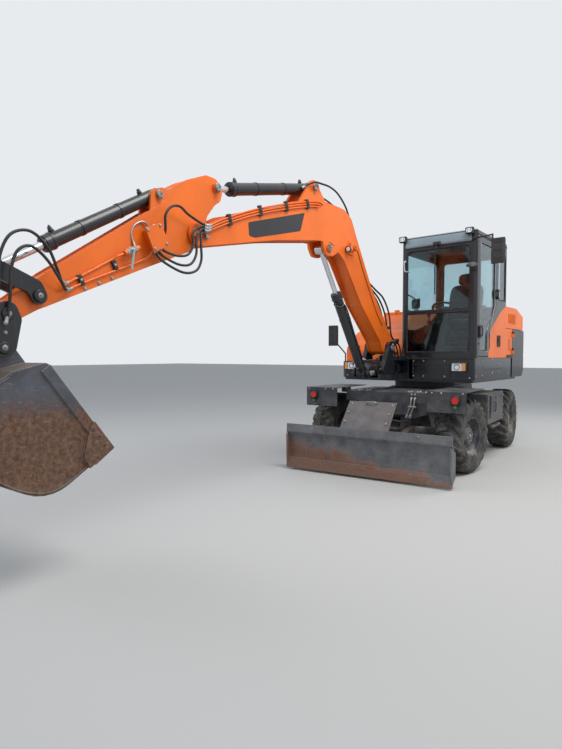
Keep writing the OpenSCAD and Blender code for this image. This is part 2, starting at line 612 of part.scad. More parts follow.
// Work lamps on the front corners of the cab roof, each on its bracket
module work_lamps() color(black) on_upper() for (x = [cab_left - 75, cab_right + 40]) {
    rounded_block(x - 45, x + 45, -cab_front - 75, -cab_front - 20, 2755, 2825, 12);
    block(x - 15, x + 15, -cab_front - 21, -cab_front - play, 2770, 2800);
}
mirror_tube = 9;
module mirrors() color(black) on_upper() {
    rounded_block(1120, 1270, -790, -745, 2370, 2650, 20);
    rod([cab_left - 60, -cab_front - 0.3 - mirror_tube, 2700], [1130, -760, 2700], mirror_tube);
    rod([1130, -760, 2709], [1130, -760, 2600], mirror_tube);
    block(cab_left - 80, cab_left - 40, -cab_front - 20, -cab_front - play, 2685, 2715);
    rounded_block(-1080, -940, -790, -745, 1460, 1740, 20);
    rod([-855, -690, cab_z - 49.7], [-855, -690, 1360], mirror_tube);
    rod([-855, -690, 1352], [-960, -760, 1500], mirror_tube);
}

door_hinge_z = [2080, 2600];
module cab_door() color(charcoal) on_upper() {
    difference() {
        translate([cab_left - cab_t / 2, 0, 0]) side_slab(cab_t) polygon(door_outline(0));
        translate([cab_left - cab_t / 2, 0, 0]) side_slab(cab_t + 2 * cut) polygon(door_outline(-60));
    }
    rounded_block(cab_left - 1, cab_left + 22, door_y0 + 8, door_y0 + 52, 1540, 1680, 8);
    for (z = door_hinge_z) {
        translate([cab_left + 20, door_y1, z]) cylinder(r = 12, h = 60);
        block(cab_left - 10, cab_left + 20, door_y1 - 60, door_y1 - 2, z, z + 60);
        block(cab_left + 12, cab_left + 28, door_y1 - 4, door_y1 + 4, z, z + 60);
    }
}

module door_glass() color(pale_glass) on_upper()
    translate([cab_left - 13, 0, 0]) side_slab(glass_t) polygon(door_outline(-61));

hood_y0 = cab_rear + 12;
module hood_form(inset, low)
    intersection() {
        translate([0, 0, low]) linear_extrude(hood_z - low) intersection() {
            circle(r = tail_r - 20 - inset, $fn = 128);
            polygon(rounded([[-upper_hw + 10 + inset, hood_y0 + inset], [upper_hw - 10 - inset,
                hood_y0 + inset],
                [upper_hw - 10 - inset, tail_r, 260], [-upper_hw + 10 + inset, tail_r, 260]]));
        }
        side_slab(2000) polygon(rounded([[-hood_y0 - inset, low - cut], [-hood_y0 - inset, hood_z - inset],
            [-hood_y0 - 500, hood_z - inset, 300], [-tail_r, hood_z - 190 - inset, 100],
            [-tail_r, low - cut]]));
    }
hood_hinge_f = -540;
hood_hinge_z = 2010;
module engine_hood() color(orange) on_upper() {
    difference() {
        hood_form(0, 1698);
        hood_form(25, 1690);
        for (y = [640:44:948]) block(-upper_hw, upper_hw, y, y + 18, 1770, 1900);
        for (x = [-420, -120, 180], z = [1716:28:1772]) block(x, x + 240, 1300, 1700, z, z + 12);
    }
    for (x = [-700, 600]) difference() {
        for (e = [-24, 24]) translate([x + e, 0, 0]) side_slab(12)
            polygon(rounded([[-514, 1980], [-526, 2024, 12],
            [-554, 2024, 13], [-590, 1980]]));
        at(hood_hinge_f, hood_hinge_z) translate([x, 0, 0]) across(8 + play, 100);
    }
}
module hood_ear(x, f) translate([x, 0, 0]) {
    side_slab(24) polygon(rounded([[f, 1880], [f, hood_hinge_z - 6, 14], [hood_hinge_f + 14,
        hood_hinge_z + 14, 14],
        [hood_hinge_f - 14, hood_hinge_z + 14, 13], [hood_hinge_f - 14, hood_hinge_z - 10, 10],
        [-508, hood_hinge_z - 14], [-508, 1880]]));
    at(hood_hinge_f, hood_hinge_z) across(8, 66);
}

function side_panel(g) = rounded([[-door_low_y - 2 * gap - g, cab_z + g], [-door_low_y - 2 * gap - g,
    1600 - g, 150],
    [-240, 1890 - g, 200], [-470, 1985 - g, 30], [-506, 1985 - g], [-506, 1690 - g, 10], [-800, 1690 - g],
    [-800, cab_z + g]]);
// Heights of the louvres in the side doors
louvre_rows = [for (k = [0:5]) 1410 + 26 * k];
module side_hinges() for (z = side_hinge_z) hinge_leaf(z, 50, -1);
module left_side_door() color(orange) on_upper() {
    difference() {
        translate([upper_hw - 12, 0, 0]) side_slab(24) polygon(side_panel(0));
        for (z = louvre_rows) block(upper_hw - 30, upper_hw + 10, 640, 770, z, z + 11);
    }
    side_hinges();
}

module right_side_door() color(orange) on_upper() {
    difference() {
        translate([-upper_hw + 12, 0, 0]) side_slab(24)
            polygon(rounded([[-106, cab_z - 44], [-106, 1600, 60],
            [-300, 1690, 60], [-800, 1690], [-800, cab_z - 44]]));
        for (z = louvre_rows, y = [330, 490, 650]) block(-upper_hw - 10, -upper_hw + 30, y, y + 120, z,
            z + 11);
    }
    mirror([1, 0, 0]) side_hinges();
}

module right_cover() color(orange) on_upper() {
    difference() {
        translate([(cab_right - 12 - upper_hw + 30) / 2, 0, 0]) side_slab(cab_right - 12 + upper_hw - 30)
            polygon(rounded([[600, cab_z - 49.7], [600, 1450, 150], [300, 1660, 200], [-200, 1760, 300],
                [-506, 1960, 20], [-506, cab_z - 49.7]]));
        block(post_x - 330, cab_right, -800, 800, cab_z - 60, 1290);
    }
    hood_ear(-700, -496);
}

module swing_post() color(charcoal) on_post() {
    cylinder_z = [1100 + gap, lug_z[1] - gap];
    translate([0, 0, cylinder_z[0]]) cylinder(r = 70, h = cylinder_z[1] - cylinder_z[0]);
    translate([0, 0, lug_z[0]]) cylinder(r = 40, h = lug_z[1] + lug_t - lug_z[0]);
    side_slab(240) polygon(rounded([[-20, 1108], [420, 1108, 30], [470, 1180, 45], [300, 1255, 40],
        [-20, 1255]]));
    for (x = [-143, 143]) translate([x, 0, 0]) side_slab(50) polygon(rounded([[110, 1106], [400, 1106, 40],
        [foot_f + 90, foot_z - 20, 60], [foot_f + 70, foot_z + 75, 60], [foot_f - 75, foot_z + 75, 60],
        [foot_f - 75, foot_z - 20, 30], [110, 1345, 20]]));
    at(foot_f, foot_z) across(pin_r, 340);
    both_sides(90) side_slab(30) polygon(rounded([[340, 1130], [boom_cyl_low[0] + 60, 1060, 50],
        [boom_cyl_low[0] + 60, 1180, 50], [340, 1225]]));
    at(boom_cyl_low[0], boom_cyl_low[1]) across(pin_r, 224);
    for (z = [1138, 1237]) translate([0, 0, z]) linear_extrude(20)
        polygon(rounded([[-275, -45, 44], [-275, 45, 44], [-60, 70], [-60, -70]]));
}

lug_t = 55;
lug_z = [1040, 1265];
swing_ram_base = [-360, -20];
swing_ram_eye = [post_x - 230, -post_f];
module on_swing_ram() on_upper() translate([swing_ram_base.x, swing_ram_base.y, 1200])
    rotate([0, 0, atan2(swing_ram_eye.x - swing_ram_base.x, -(swing_ram_eye.y - swing_ram_base.y))])
    rotate([0, 90, 0]) children();
swing_ram_l = norm(swing_ram_eye - swing_ram_base);
module swing_barrel() color(black) on_swing_ram() ram_barrel(42, 22, 640, 40, 20, 60, 60);
module swing_rod() color(steel) on_swing_ram() ram_rod(22, 300, swing_ram_l, 40, 50);

// Thickness of the boom's and arm's side plates, and how far they stand proud of the plates between them
web_t = 16;
weld_lip = 9;
boom_outline = [[-88, 0, 70], [-88, 130, 60], [217, 332], [587, 586, 200], [1046, 998, 200],
    [1180, 1128, 90],
    [1343, 1160, 160], [1825, 1020, 300], [2940, 309, 200], [3154, 110, 80], [boom_l, 96, 60],
    [boom_l + 90, 0, 74],
    [boom_l, -88, 60], [3120, -50, 80], [2343, 352, 300], [1721, 633, 300], [1480, 720, 60],
    [1197, 640, 200],
    [744, 311, 300], [200, 30, 200], [80, -80, 60], [-60, -90, 60]];
module boom() color(orange) on_boom() {
    difference() {
        union() {
            side_slab(boom_w - 2 * web_t) polygon(rounded(inset(boom_outline, -weld_lip)));
            both_sides((boom_w - web_t) / 2) side_slab(web_t) polygon(rounded(boom_outline));
            across(78, boom_w + 12);
        }
        across(pin_r + play, 400);
        side_slab(arm_w + 2 * gap) {
            translate([boom_l, 0]) circle(r = 235);
            translate([boom_l, 0]) intersection() {
                circle(r = 480);
                polygon([[0, 0], [0, 600], [-600, 600], [-600, 160]]);
            }
        }
        side_slab(2 * barrel_r + 24) polygon([[640, 120], [640, 246], [1262, 772],
            [1320, 850], [1440, 850], [1600, 700], [1640, 480]]);
    }
    both_sides(85) side_slab(30) polygon(rounded([[1300, 700], [1420, 590, 50], [1530, 560, 60],
        [1600, 620, 60], [1640, 700]]));
    both_sides(105) at(boom_cyl_top[0], boom_cyl_top[1]) across(45, 20);
    both_sides(85) side_slab(30) polygon(rounded([[1640, 1040], [1820, 1140, 60], [1850, 1200, 60],
        [1960, 1170, 60], [2120, 800]]));
    at(arm_cyl_base[0], arm_cyl_base[1]) across(pin_r, 220);
    at(boom_l, 0) across(pin_r, 230);
}

boom_ram_l = norm(boom_cyl_top_post - boom_cyl_low);
module on_boom_ram() on_post() towards(boom_cyl_low, boom_cyl_top_post) children();
module boom_barrel() color(black) on_boom_ram() ram_barrel(barrel_r, rod_r, 1050, 58, pin_r, 110, 60);
module boom_rod() color(steel) on_boom_ram() ram_rod(rod_r, 510, boom_ram_l, 52, 90);

arm_outline = [[-460, 210, 50], [-440, 320, 60], [-340, 375, 60], [-120, 385, 60], [20, 372, 60],
    [150, 292, 60], [1283, 120, 200], [1500, 72, 60], [arm_l, 66, 50], [arm_l + 66, 0, 54],
    [arm_l, -66, 50],
    [1400, -55, 200], [347, -95, 200], [100, -110, 80], [-90, -70, 80], [-200, 80, 100], [-330, 140, 100],
    [-400, 150, 60]];
module arm() color(orange) on_arm() {
    difference() {
        union() {
            side_slab(arm_w - 2 * web_t) polygon(rounded(inset(arm_outline, -weld_lip)));
            both_sides((arm_w - web_t) / 2) side_slab(web_t) polygon(rounded(arm_outline));
            at(arm_l, 0) across(54, 216);
        }
        across(pin_r + play, 400);
        at(arm_l, 0) across(pin_r + play, 400);
        side_slab(80 + 2 * gap) polygon([[-700, 60], [-700, 500], [-270, 500], [-250, 440], [-250, 60]]);
        at(rocker_pin[0], rocker_pin[1]) across(pin_r + play, 400);
    }
    both_sides(85) at(arm_cyl_rod[0], arm_cyl_rod[1]) across(40, 20);
    both_sides(60) side_slab(20) polygon(rounded([[80, 270], [120, 385, 40], [240, 395, 50], [330, 240]]));
    at(bucket_ram_base[0], bucket_ram_base[1]) across(20, 150);
}

arm_ram_l = norm(arm_cyl_rod_boom - arm_cyl_base);
module on_arm_ram() on_boom() towards(arm_cyl_base, arm_cyl_rod_boom) children();
module arm_barrel() color(black) on_arm_ram() ram_barrel(barrel_r, rod_r, 1140, 58, pin_r, 110, 60);
module arm_rod() color(steel) on_arm_ram() ram_rod(rod_r, 210, arm_ram_l, 50, 80);

bucket_ram_base = bucket_cyl_base + [0, 20];
bucket_ram_l = norm(rocker_top - bucket_ram_base);
module on_bucket_ram() on_arm() towards(bucket_ram_base, rocker_top) children();
module bucket_barrel() color(black) on_bucket_ram() ram_barrel(48, rod_r, 960, 46, 20, 90, 60);
module bucket_rod() color(steel) on_bucket_ram() ram_rod(rod_r, 420, bucket_ram_l, 46, 80);

link_l = norm(crank_pin - rocker_top);
module rocker_links() color(black) on_arm() {
    both_sides(96) side_slab(24) polygon(rounded([[1319, -30, 49], [1319, 90, 60], [1500, 294, 60],
        [1623, 294, 39],
        [1623, 204, 39], [1555, 204, 60], [1419, 60, 60], [1419, -30, 49]]));
    mirrored() translate([82, 0, 0]) at(rocker_top[0], rocker_top[1]) across(20, 60);
    at(rocker_pin[0], rocker_pin[1]) across(pin_r, 224);
}

module bucket_link() color(black) on_arm() both_sides(68) towards(rocker_top, crank_pin) difference() {
    side_slab(20) polygon(rounded([[-40, -40, 39], [-40, 40, 39], [link_l + 40, 40, 39],
        [link_l + 40, -40, 39]]));
    across(20 + play, 40);
}

hook_pins = [[1705, -162], [1860, -150]];
module quick_coupler() color(black) on_arm() {
    difference() {
        both_sides(126.5) side_slab(25) polygon(rounded([[arm_l - 70, 60, 60], [arm_l + 60, 80, 60],
            [crank_pin[0] + 60, 60, 50],
            [crank_pin[0] + 60, -100, 50], [hook_pins[1][0] + 40, hook_pins[1][1] - 45, 40],
            [hook_pins[0][0] - 50, hook_pins[0][1] - 50, 40], [arm_l - 60, -60, 50]]));
        at(crank_pin[0], crank_pin[1]) across(20 + play, 400);
    }
    at(arm_l, 0) across(pin_r, 290);
    for (p = hook_pins) at(p[0], p[1]) across(22, 278);
}

// The bucket's side, from the upper edge of its mouth round the back to the tip of its lip
bucket_side = [[1600, -300, 40], [1800, -260, 40], [2080, -300, 200], [2180, -700, 260], [1950, -1010, 260],
    [1467, -961]];
// Width and thickness of the strip that stiffens the mouth, and size of the bolted side cutter
mouth_strip = [62, 10];
cutter = [190, 130, 18];
lip_t = 24;
module bucket() color(worn) on_arm() {
    tip = flat(bucket_side[5]);
    top = flat(bucket_side[0]);
    along = unit(top - tip);
    back = [along.y, -along.x];
    floor_way = unit(flat(bucket_side[4]) - tip);
    under = [floor_way.y, -floor_way.x];
    side_slab(bucket_w - 2 * play) difference() {
        polygon(rounded(bucket_side));
        polygon(rounded(inset(bucket_side, -bucket_t)));
        polygon([tip - under * bucket_t - floor_way * 90, tip - under * bucket_t + floor_way * 90,
            top + back * 90 - along * 2 * bucket_t, top - back * 90 - along * 2 * bucket_t]);
    }
    both_sides(bucket_w / 2 - bucket_t / 2) side_slab(bucket_t) polygon(rounded(bucket_side));
    both_sides(bucket_w / 2 + mouth_strip[1] / 2 - 1) side_slab(mouth_strip[1] + 2)
        polygon(rounded([tip + along * cutter[0], tip + along * cutter[0] + back * mouth_strip[0],
            top + back * mouth_strip[0] - along * 20, top - along * 20]));
    both_sides(bucket_w / 2 + cutter[2] / 2 - 1) side_slab(cutter[2] + 2)
        polygon(rounded([tip - back * 6, tip + floor_way * cutter[0] + under * 3, [tip.x + cutter[0],
        tip.y + cutter[1] * 0.5, 40],
            tip + along * cutter[0] + back * mouth_strip[0], tip + along * (cutter[0] + 24) - back * 6]));
    side_slab(bucket_w + 2 * cutter[2] - 2) polygon([tip - floor_way * 8, tip + floor_way * 150,
        tip + floor_way * 150 + under * (lip_t - bucket_t),
        tip + under * (lip_t - bucket_t) * 0.4 - floor_way * 2]);
    both_sides(bucket_w / 2 - 110) side_slab(60) polygon([tip + floor_way * 149, tip + floor_way * 400,
        tip + floor_way * 400 + under * 9, tip + floor_way * 149 + under * 9]);
    difference() {
        both_sides(94) side_slab(20) polygon(rounded([[1620, -296], [1650, -120, 50], [1750, -100, 50],
            [1900, -90, 50],
            [1930, -180, 60], [2000, -284]]));
        for (p = hook_pins) at(p[0], p[1]) across(22 + play, 400);
    }
    at(1770, -236) across(30, 170);
}

// Bracket and round lamp on the left of the boom's bend
module boom_lamp() color(orange) on_boom() translate([boom_w / 2 + 0.3, 0, 0]) {
    translate([32, 0, 0]) side_slab(64) polygon([[1060, 800], [1180, 800], [1180, 812], [1060, 812]]);
    translate([6, 0, 0]) side_slab(12) polygon(rounded([[1060, 740, 20], [1060, 880, 20], [1180, 880, 20],
        [1180, 740, 20]]));
    translate([40, 0, 0]) at(1170, 770) rotate([90 + boom_rest, 0, 0]) cylinder(r = 34, h = 46);
    translate([40, 0, 0]) at(1150, 785) cylinder(r = 8, h = 20);
}

// Valve block behind its cover plate and two ball valves on the left of the arm
valve_f = [330, 560];
module arm_valves() color(orange) on_arm() translate([arm_w / 2 + 0.3, 0, 0]) {
    translate([34, 0, 0]) side_slab(68) polygon([[valve_f[0] + 30, 20], [valve_f[0] + 120, 20],
        [valve_f[0] + 120, 150],
        [valve_f[0] + 30, 150]]);
    translate([74, 0, 0]) side_slab(12) polygon(rounded([[valve_f[0], 0, 12], [valve_f[0], 170, 12],
        [valve_f[0] + 150, 170, 12], [valve_f[0] + 150, 0, 12]]));
    at(valve_f[1] + 60, 60) rotate([0, 90, 0]) cylinder(r = 20, h = 42);
    translate([30, 0, 0]) at(valve_f[1] + 60, 60) rotate([90, 0, 0]) cylinder(r = 19, h = 130,
        center = true);
}

chassis_frame();
front_axle();
rear_axle();
drive_gearbox();
front_fenders();
fender_lamps();
side_steps();
swing_bearing();
front_left_knuckle();
front_right_knuckle();
front_left_tyre();
front_left_rim();
front_right_tyre();
front_right_rim();
rear_left_tyre();
rear_left_rim();
rear_right_tyre();
rear_right_rim();
blade();
blade_barrel();
blade_rod();
upper_frame();
counterweight();
engine_block();
lower_covers();
cab_frame();
cab_roof();
cab_floor();
cab_glass();
operator_seat();
control_consoles();
steering_column();
head_lamps();
work_lamps();
mirrors();
cab_door();
door_glass();
engine_hood();
left_side_door();
right_side_door();
right_cover();
swing_post();
swing_barrel();
swing_rod();
boom();
boom_lamp();
boom_barrel();
boom_rod();
arm();
arm_valves();
arm_barrel();
arm_rod();
bucket_barrel();
bucket_rod();
rocker_links();
bucket_link();
quick_coupler();
bucket();
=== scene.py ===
import json

import bpy
import numpy as np
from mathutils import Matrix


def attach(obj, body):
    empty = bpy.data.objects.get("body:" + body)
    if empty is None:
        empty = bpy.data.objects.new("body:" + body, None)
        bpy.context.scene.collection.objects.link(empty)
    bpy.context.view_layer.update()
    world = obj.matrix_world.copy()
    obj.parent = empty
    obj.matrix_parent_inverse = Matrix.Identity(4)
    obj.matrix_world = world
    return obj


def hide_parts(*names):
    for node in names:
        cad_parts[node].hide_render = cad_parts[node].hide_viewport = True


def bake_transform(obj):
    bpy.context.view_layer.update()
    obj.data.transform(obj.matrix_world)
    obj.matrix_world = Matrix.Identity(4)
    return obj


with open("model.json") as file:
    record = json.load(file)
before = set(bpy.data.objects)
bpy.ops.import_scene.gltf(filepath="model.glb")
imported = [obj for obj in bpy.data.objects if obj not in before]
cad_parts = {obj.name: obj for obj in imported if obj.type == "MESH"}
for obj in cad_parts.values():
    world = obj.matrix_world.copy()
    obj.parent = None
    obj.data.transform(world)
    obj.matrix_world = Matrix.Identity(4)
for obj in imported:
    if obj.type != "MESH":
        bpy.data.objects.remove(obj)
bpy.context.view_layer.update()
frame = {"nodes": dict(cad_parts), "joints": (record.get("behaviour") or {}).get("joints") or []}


# Camera, floor and light
# A camera at eye height before the blade, a wide pale floor, and soft light from a broad lamp overhead,
# a fill from the left and a pale surround.
scene = bpy.context.scene
scene.view_settings.view_transform = "Standard"
EYE = (2.415, -5.194, 1.325)
YAW, PITCH, ROLL = np.radians([33.30, -2.02, -0.09])
LENS_PX, LONG_SIDE_PX, SENSOR = 540, 749, 36.0
camera = bpy.data.cameras.new("camera")
camera.sensor_width = SENSOR
camera.lens = LENS_PX / LONG_SIDE_PX * SENSOR
camera.clip_end = 200
viewer = bpy.data.objects.new("camera", camera)
viewer.location = EYE
viewer.rotation_euler = (np.pi / 2 + PITCH, ROLL, YAW)
scene.collection.objects.link(viewer)
scene.camera = viewer


def feed(tree, node, inputs):
    """Gives each named or numbered input of a node a value, or joins it to another node's output."""
    for key, value in dict(inputs).items():
        if isinstance(value, bpy.types.NodeSocket):
            tree.links.new(value, node.inputs[key])
        else:
            node.inputs[key].default_value = value


def add_node(tree, kind, inputs=(), **settings):
    """Adds a shader node with its settings and its inputs."""
    made = tree.nodes.new(kind)
    for key, value in settings.items():
        setattr(made, key, value)
    feed(tree, made, inputs)
    return made


def maths(tree, operation, *values, clamp=False):
    """A value worked out from others by a named operation."""
    return add_node(tree, "ShaderNodeMath", enumerate(values), operation=operation,
                    use_clamp=clamp).outputs[0]


def pale_for_camera(tree, lit, shown_kind, shown_inputs, target):
    """Joins a lit shader with a plain pale one, which camera, mirror and glass rays see instead."""
    ray = add_node(tree, "ShaderNodeLightPath").outputs
    seen = maths(tree, "MAXIMUM", ray["Is Camera Ray"], ray["Is Glossy Ray"])
    through = maths(tree, "MAXIMUM", seen, ray["Is Transmission Ray"])
    shown = add_node(tree, shown_kind, shown_inputs)
    joined = add_node(tree, "ShaderNodeMixShader", {0: through, 1: lit, 2: shown.outputs[0]})
    tree.links.new(joined.outputs[0], target)


def new_material(name):
    """A fresh material, its node tree and its main shader."""
    made = bpy.data.materials.new(name)
    made.use_nodes = True
    return made, made.node_tree, made.node_tree.nodes["Principled BSDF"]


world = bpy.data.worlds.new("surround")
scene.world = world
world.use_nodes = True
world.node_tree.nodes.clear()
sky = add_node(world.node_tree, "ShaderNodeOutputWorld")
sky_light = add_node(world.node_tree, "ShaderNodeBackground",
                     {"Color": (0.80, 0.88, 1.0, 1), "Strength": 0.62})
pale_for_camera(world.node_tree, sky_light.outputs[0], "ShaderNodeBackground",
                {"Color": (0.80, 0.83, 0.86, 1), "Strength": 1.0}, sky.inputs[0])


def add_lamp(name, place, aim, width, watts, colour=(1, 1, 1), mirrored=True):
    """A square area lamp at a place, turned to face its aim; glass and gloss show it only where mirrored
    says."""
    lamp = bpy.data.lights.new(name, "AREA")
    lamp.size = width
    lamp.energy = watts
    lamp.color = colour
    holder = bpy.data.objects.new(name, lamp)
    holder.location = place
    from_aim = viewer.location.copy()
    from_aim[:] = np.array(place, float) - np.array(aim, float)
    holder.rotation_euler = from_aim.to_track_quat("Z", "Y").to_euler()
    holder.visible_glossy = mirrored
    holder.visible_transmission = mirrored
    scene.collection.objects.link(holder)


MIDDLE = (0, 0, 1.2)
add_lamp("lamp_overhead", (3.0, -1.5, 7.5), MIDDLE, 4.0, 430, (1.0, 0.98, 0.95))
add_lamp("lamp_left", (-6.5, -5.0, 4.5), MIDDLE, 4.0, 200, (0.92, 0.96, 1.0), False)
add_lamp("lamp_behind", (4.5, 6.5, 5.0), MIDDLE, 4.0, 240, (1.0, 0.97, 0.93), False)

floor_half = 60.0
floor_mesh = bpy.data.meshes.new("floor")
floor_mesh.from_pydata([(-floor_half, -floor_half, 0), (floor_half, -floor_half, 0),
                        (floor_half, floor_half, 0), (-floor_half, floor_half, 0)], [], [(0, 1, 2, 3)])
floor = bpy.data.objects.new("floor", floor_mesh)
scene.collection.objects.link(floor)
floor_paint, floor_tree, floor_shader = new_material("floor_paint")
feed(floor_tree, floor_shader, {"Base Color": (0.46, 0.455, 0.44, 1), "Roughness": 0.85})
floor_mesh.materials.append(floor_paint)


# Chassis, axles and gearbox
# A welded box beam with a ring for the swing bearing, cast axle housings bolted under it and a drive gearbox;
# charcoal paint, dusty on what faces up and scuffed along its edges.
def noise(tree, place, scale, detail, rough=0.5):
    """Cloudy noise over a position, from 0 to 1."""
    made = add_node(tree, "ShaderNodeTexNoise", {"Vector": place, "Scale": scale, "Detail": detail,
                                                 "Roughness": rough})
    return made.outputs["Fac"]


def ramp(tree, value, low, high, start=0.0, end=1.0):
    """A value between low and high brought to between start and end, and held there outside them."""
    return add_node(tree, "ShaderNodeMapRange",
                    {"Value": value, 1: low, 2: high, 3: start, 4: end}).outputs[0]


def mixed(tree, share, first, second):
    """Two colours mixed: share 0 gives the first, share 1 the second."""
    return add_node(tree, "ShaderNodeMix", {0: share, 6: first, 7: second}, data_type="RGBA").outputs[2]


def scaled(tree, colour, factor):
    """A colour times a factor."""
    return add_node(tree, "ShaderNodeVectorMath", {0: colour, "Scale": factor}, operation="SCALE").outputs[0]


def stretched(tree, place, scale, detail, rough):
    """Noise drawn out along one axis: its position is scaled by three factors first."""
    drawn = add_node(tree, "ShaderNodeMapping", {"Vector": place, "Scale": scale}).outputs[0]
    return noise(tree, drawn, 1.0, detail, rough)


def worn_edges(tree, facing, limit, most):
    """The rounded normal, and how far each edge is rubbed: most where it turns from the face's own past
    limit."""
    soft = add_node(tree, "ShaderNodeBevel", {"Radius": 0.006}, samples=4).outputs[0]
    turn = add_node(tree, "ShaderNodeVectorMath", {0: soft, 1: facing}, operation="DOT_PRODUCT")
    return soft, ramp(tree, turn.outputs["Value"], 0.97, limit, 0.0, most)


def paint(name, colour, rough=0.4, dust=0.25, wear=0.3, worn=(0.16, 0.15, 0.14), grain=1.0, metal=0.0,
          coat=0.0, dust_colour=(0.30, 0.27, 0.235), low=0.0, streak=0.0, streak_colour=(0.05, 0.04, 0.035)):
    """Sprayed paint on steel: its colour drifts a little over the panel, dust lies on what faces up and
    thickens below the height low, edges rub through to the colour worn, long thin streaks run down, and fine
    grain breaks the gloss."""
    made, tree, shader = new_material(name)
    place = add_node(tree, "ShaderNodeTexCoord").outputs["Object"]
    facing = add_node(tree, "ShaderNodeNewGeometry").outputs["Normal"]
    speck = noise(tree, place, 46.0, 5.0, 0.7)
    toned = scaled(tree, (*colour,), ramp(tree, noise(tree, place, 2.3, 4.0), 0.3, 0.7, 0.86, 1.1))
    soft, rubbed = worn_edges(tree, facing, 0.80, wear)
    edge = maths(tree, "MULTIPLY", rubbed, ramp(tree, speck, 0.42, 0.60))
    scuffed = mixed(tree, edge, toned, (*worn, 1))
    run = ramp(tree, stretched(tree, place, (34.0, 34.0, 2.2), 6.0, 0.6), 0.56, 0.72, 0.0, streak)
    streaked = mixed(tree, run, scuffed, (*streak_colour, 1))
    up = add_node(tree, "ShaderNodeSeparateXYZ", {0: facing}).outputs["Z"]
    height = add_node(tree, "ShaderNodeSeparateXYZ", {0: place}).outputs["Z"]
    lying = ramp(tree, up, 0.1, 0.95, 0.2, 1.0)
    splash = ramp(tree, height, low + 0.35, low - 0.25, 0.0, 1.3)
    broken = ramp(tree, noise(tree, place, 7.0, 8.0, 0.65), 0.38, 0.70, 0.0, dust)
    film = maths(tree, "MULTIPLY", maths(tree, "ADD", lying, splash), broken, clamp=True)
    matt = maths(tree, "MULTIPLY_ADD", film, 0.55, rough)
    bump = add_node(tree, "ShaderNodeBump", {"Strength": 0.05 * grain, "Distance": 0.002,
                                             "Height": noise(tree, place, 260.0, 2.0), "Normal": soft})
    feed(tree, shader, {"Base Color": mixed(tree, film, streaked, (*dust_colour, 1)),
                        "Roughness": maths(tree, "MULTIPLY_ADD", speck, 0.12, matt, clamp=True),
                        "Normal": bump.outputs[0], "Metallic": metal, "Coat Weight": coat,
                        "Coat Roughness": 0.08})
    return made


def dress(material, *names):
    """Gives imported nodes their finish."""
    for name in names:
        mesh = frame["nodes"][name].data
        mesh.materials.clear()
        mesh.materials.append(material)


def unit(vector):
    """Vectors brought to length one along the last axis."""
    vector = np.asarray(vector, float)
    return vector / np.linalg.norm(vector, axis=-1, keepdims=True)


def grid(points, loop_u=False, loop_v=False, capped=False):
    """A shape over a (u, v) grid of points: its points, its quads and its end faces. A looped direction joins
    the last row to the first; capped closes the first and the last u row with one face each."""
    points = np.asarray(points, float)
    rows, columns = points.shape[:2]
    index = np.arange(rows * columns).reshape(rows, columns)
    if loop_u:
        index = np.vstack([index, index[:1]])
    if loop_v:
        index = np.hstack([index, index[:, :1]])
    quads = np.stack([index[:-1, :-1], index[1:, :-1], index[1:, 1:], index[:-1, 1:]], -1).reshape(-1, 4)
    ends = [index[0, :columns], index[rows - 1, :columns][::-1]] if capped else []
    return points.reshape(-1, 3), quads, ends


def lathe(profile, origin, axis, steps=24, ring=False):
    """A profile of (radius, height) pairs turned about an axis through origin; a ring's profile is a closed
    loop."""
    radius, height = np.asarray(profile, float).T
    axis = unit(axis)
    side = unit(np.cross(axis, (0.31, 0.87, 0.38) if abs(axis[1]) < 0.8 else (1.0, 0.0, 0.0)))
    other = np.cross(axis, side)
    turn = np.linspace(0, 2 * np.pi, steps, endpoint=False)[:, None]
    spoke = np.cos(turn) * side + np.sin(turn) * other
    points = np.asarray(origin) + height[:, None, None] * axis + radius[:, None, None] * spoke
    return grid(points, loop_u=ring, loop_v=True, capped=not ring)


def tube(path, radius, sides=10):
    """A circle carried along a path, its frame turning no more than the path does; radius may change on the
    way."""
    path = np.asarray(path, float)
    way = unit(np.gradient(path, axis=0))
    side = np.empty_like(path)
    side[0] = unit(np.cross(way[0], (0.31, 0.22, 0.93)))
    for step in range(1, len(path)):
        side[step] = unit(side[step - 1] - way[step] * (side[step - 1] @ way[step]))
    other = np.cross(way, side)
    turn = np.linspace(0, 2 * np.pi, sides, endpoint=False)
    radius = np.broadcast_to(radius, len(path))[:, None, None]
    points = path[:, None] + radius * (np.cos(turn)[:, None] * side[:, None]
                                       + np.sin(turn)[:, None] * other[:, None])
    return grid(points, loop_v=True, capped=True)


def curve(points, count=24):
    """A smooth curve through the points: cubic pieces whose slopes follow their neighbours."""
    given = np.asarray(points, float)
    given = np.vstack([2 * given[0] - given[1], given, 2 * given[-1] - given[-2]])
    along = np.linspace(0, len(given) - 3, count)
    start = np.minimum(along.astype(int), len(given) - 4)
    share = (along - start)[:, None]
    a, b, c, d = (given[start + k] for k in range(4))
    return 0.5 * (2 * b + (c - a) * share + (2 * a - 5 * b + 4 * c - d) * share ** 2
                  + (3 * b - a - 3 * c + d) * share ** 3)


def rounded(corners, radius, steps=4):
    """An outline whose corners are cut by arcs of a parabola that start up to radius before them."""
    corners = np.asarray(corners, float)
    before, after = np.roll(corners, 1, 0) - corners, np.roll(corners, -1, 0) - corners
    reach = np.minimum(radius,
                       0.45 * np.minimum(np.linalg.norm(before, axis=1), np.linalg.norm(after, axis=1)))
    first, last = corners + unit(before) * reach[:, None], corners + unit(after) * reach[:, None]
    share = np.linspace(0, 1, steps)[:, None]
    arcs = ((1 - share) ** 2 * first[:, None] + 2 * share * (1 - share) * corners[:, None]
            + share ** 2 * last[:, None])
    return arcs.reshape(-1, corners.shape[1])


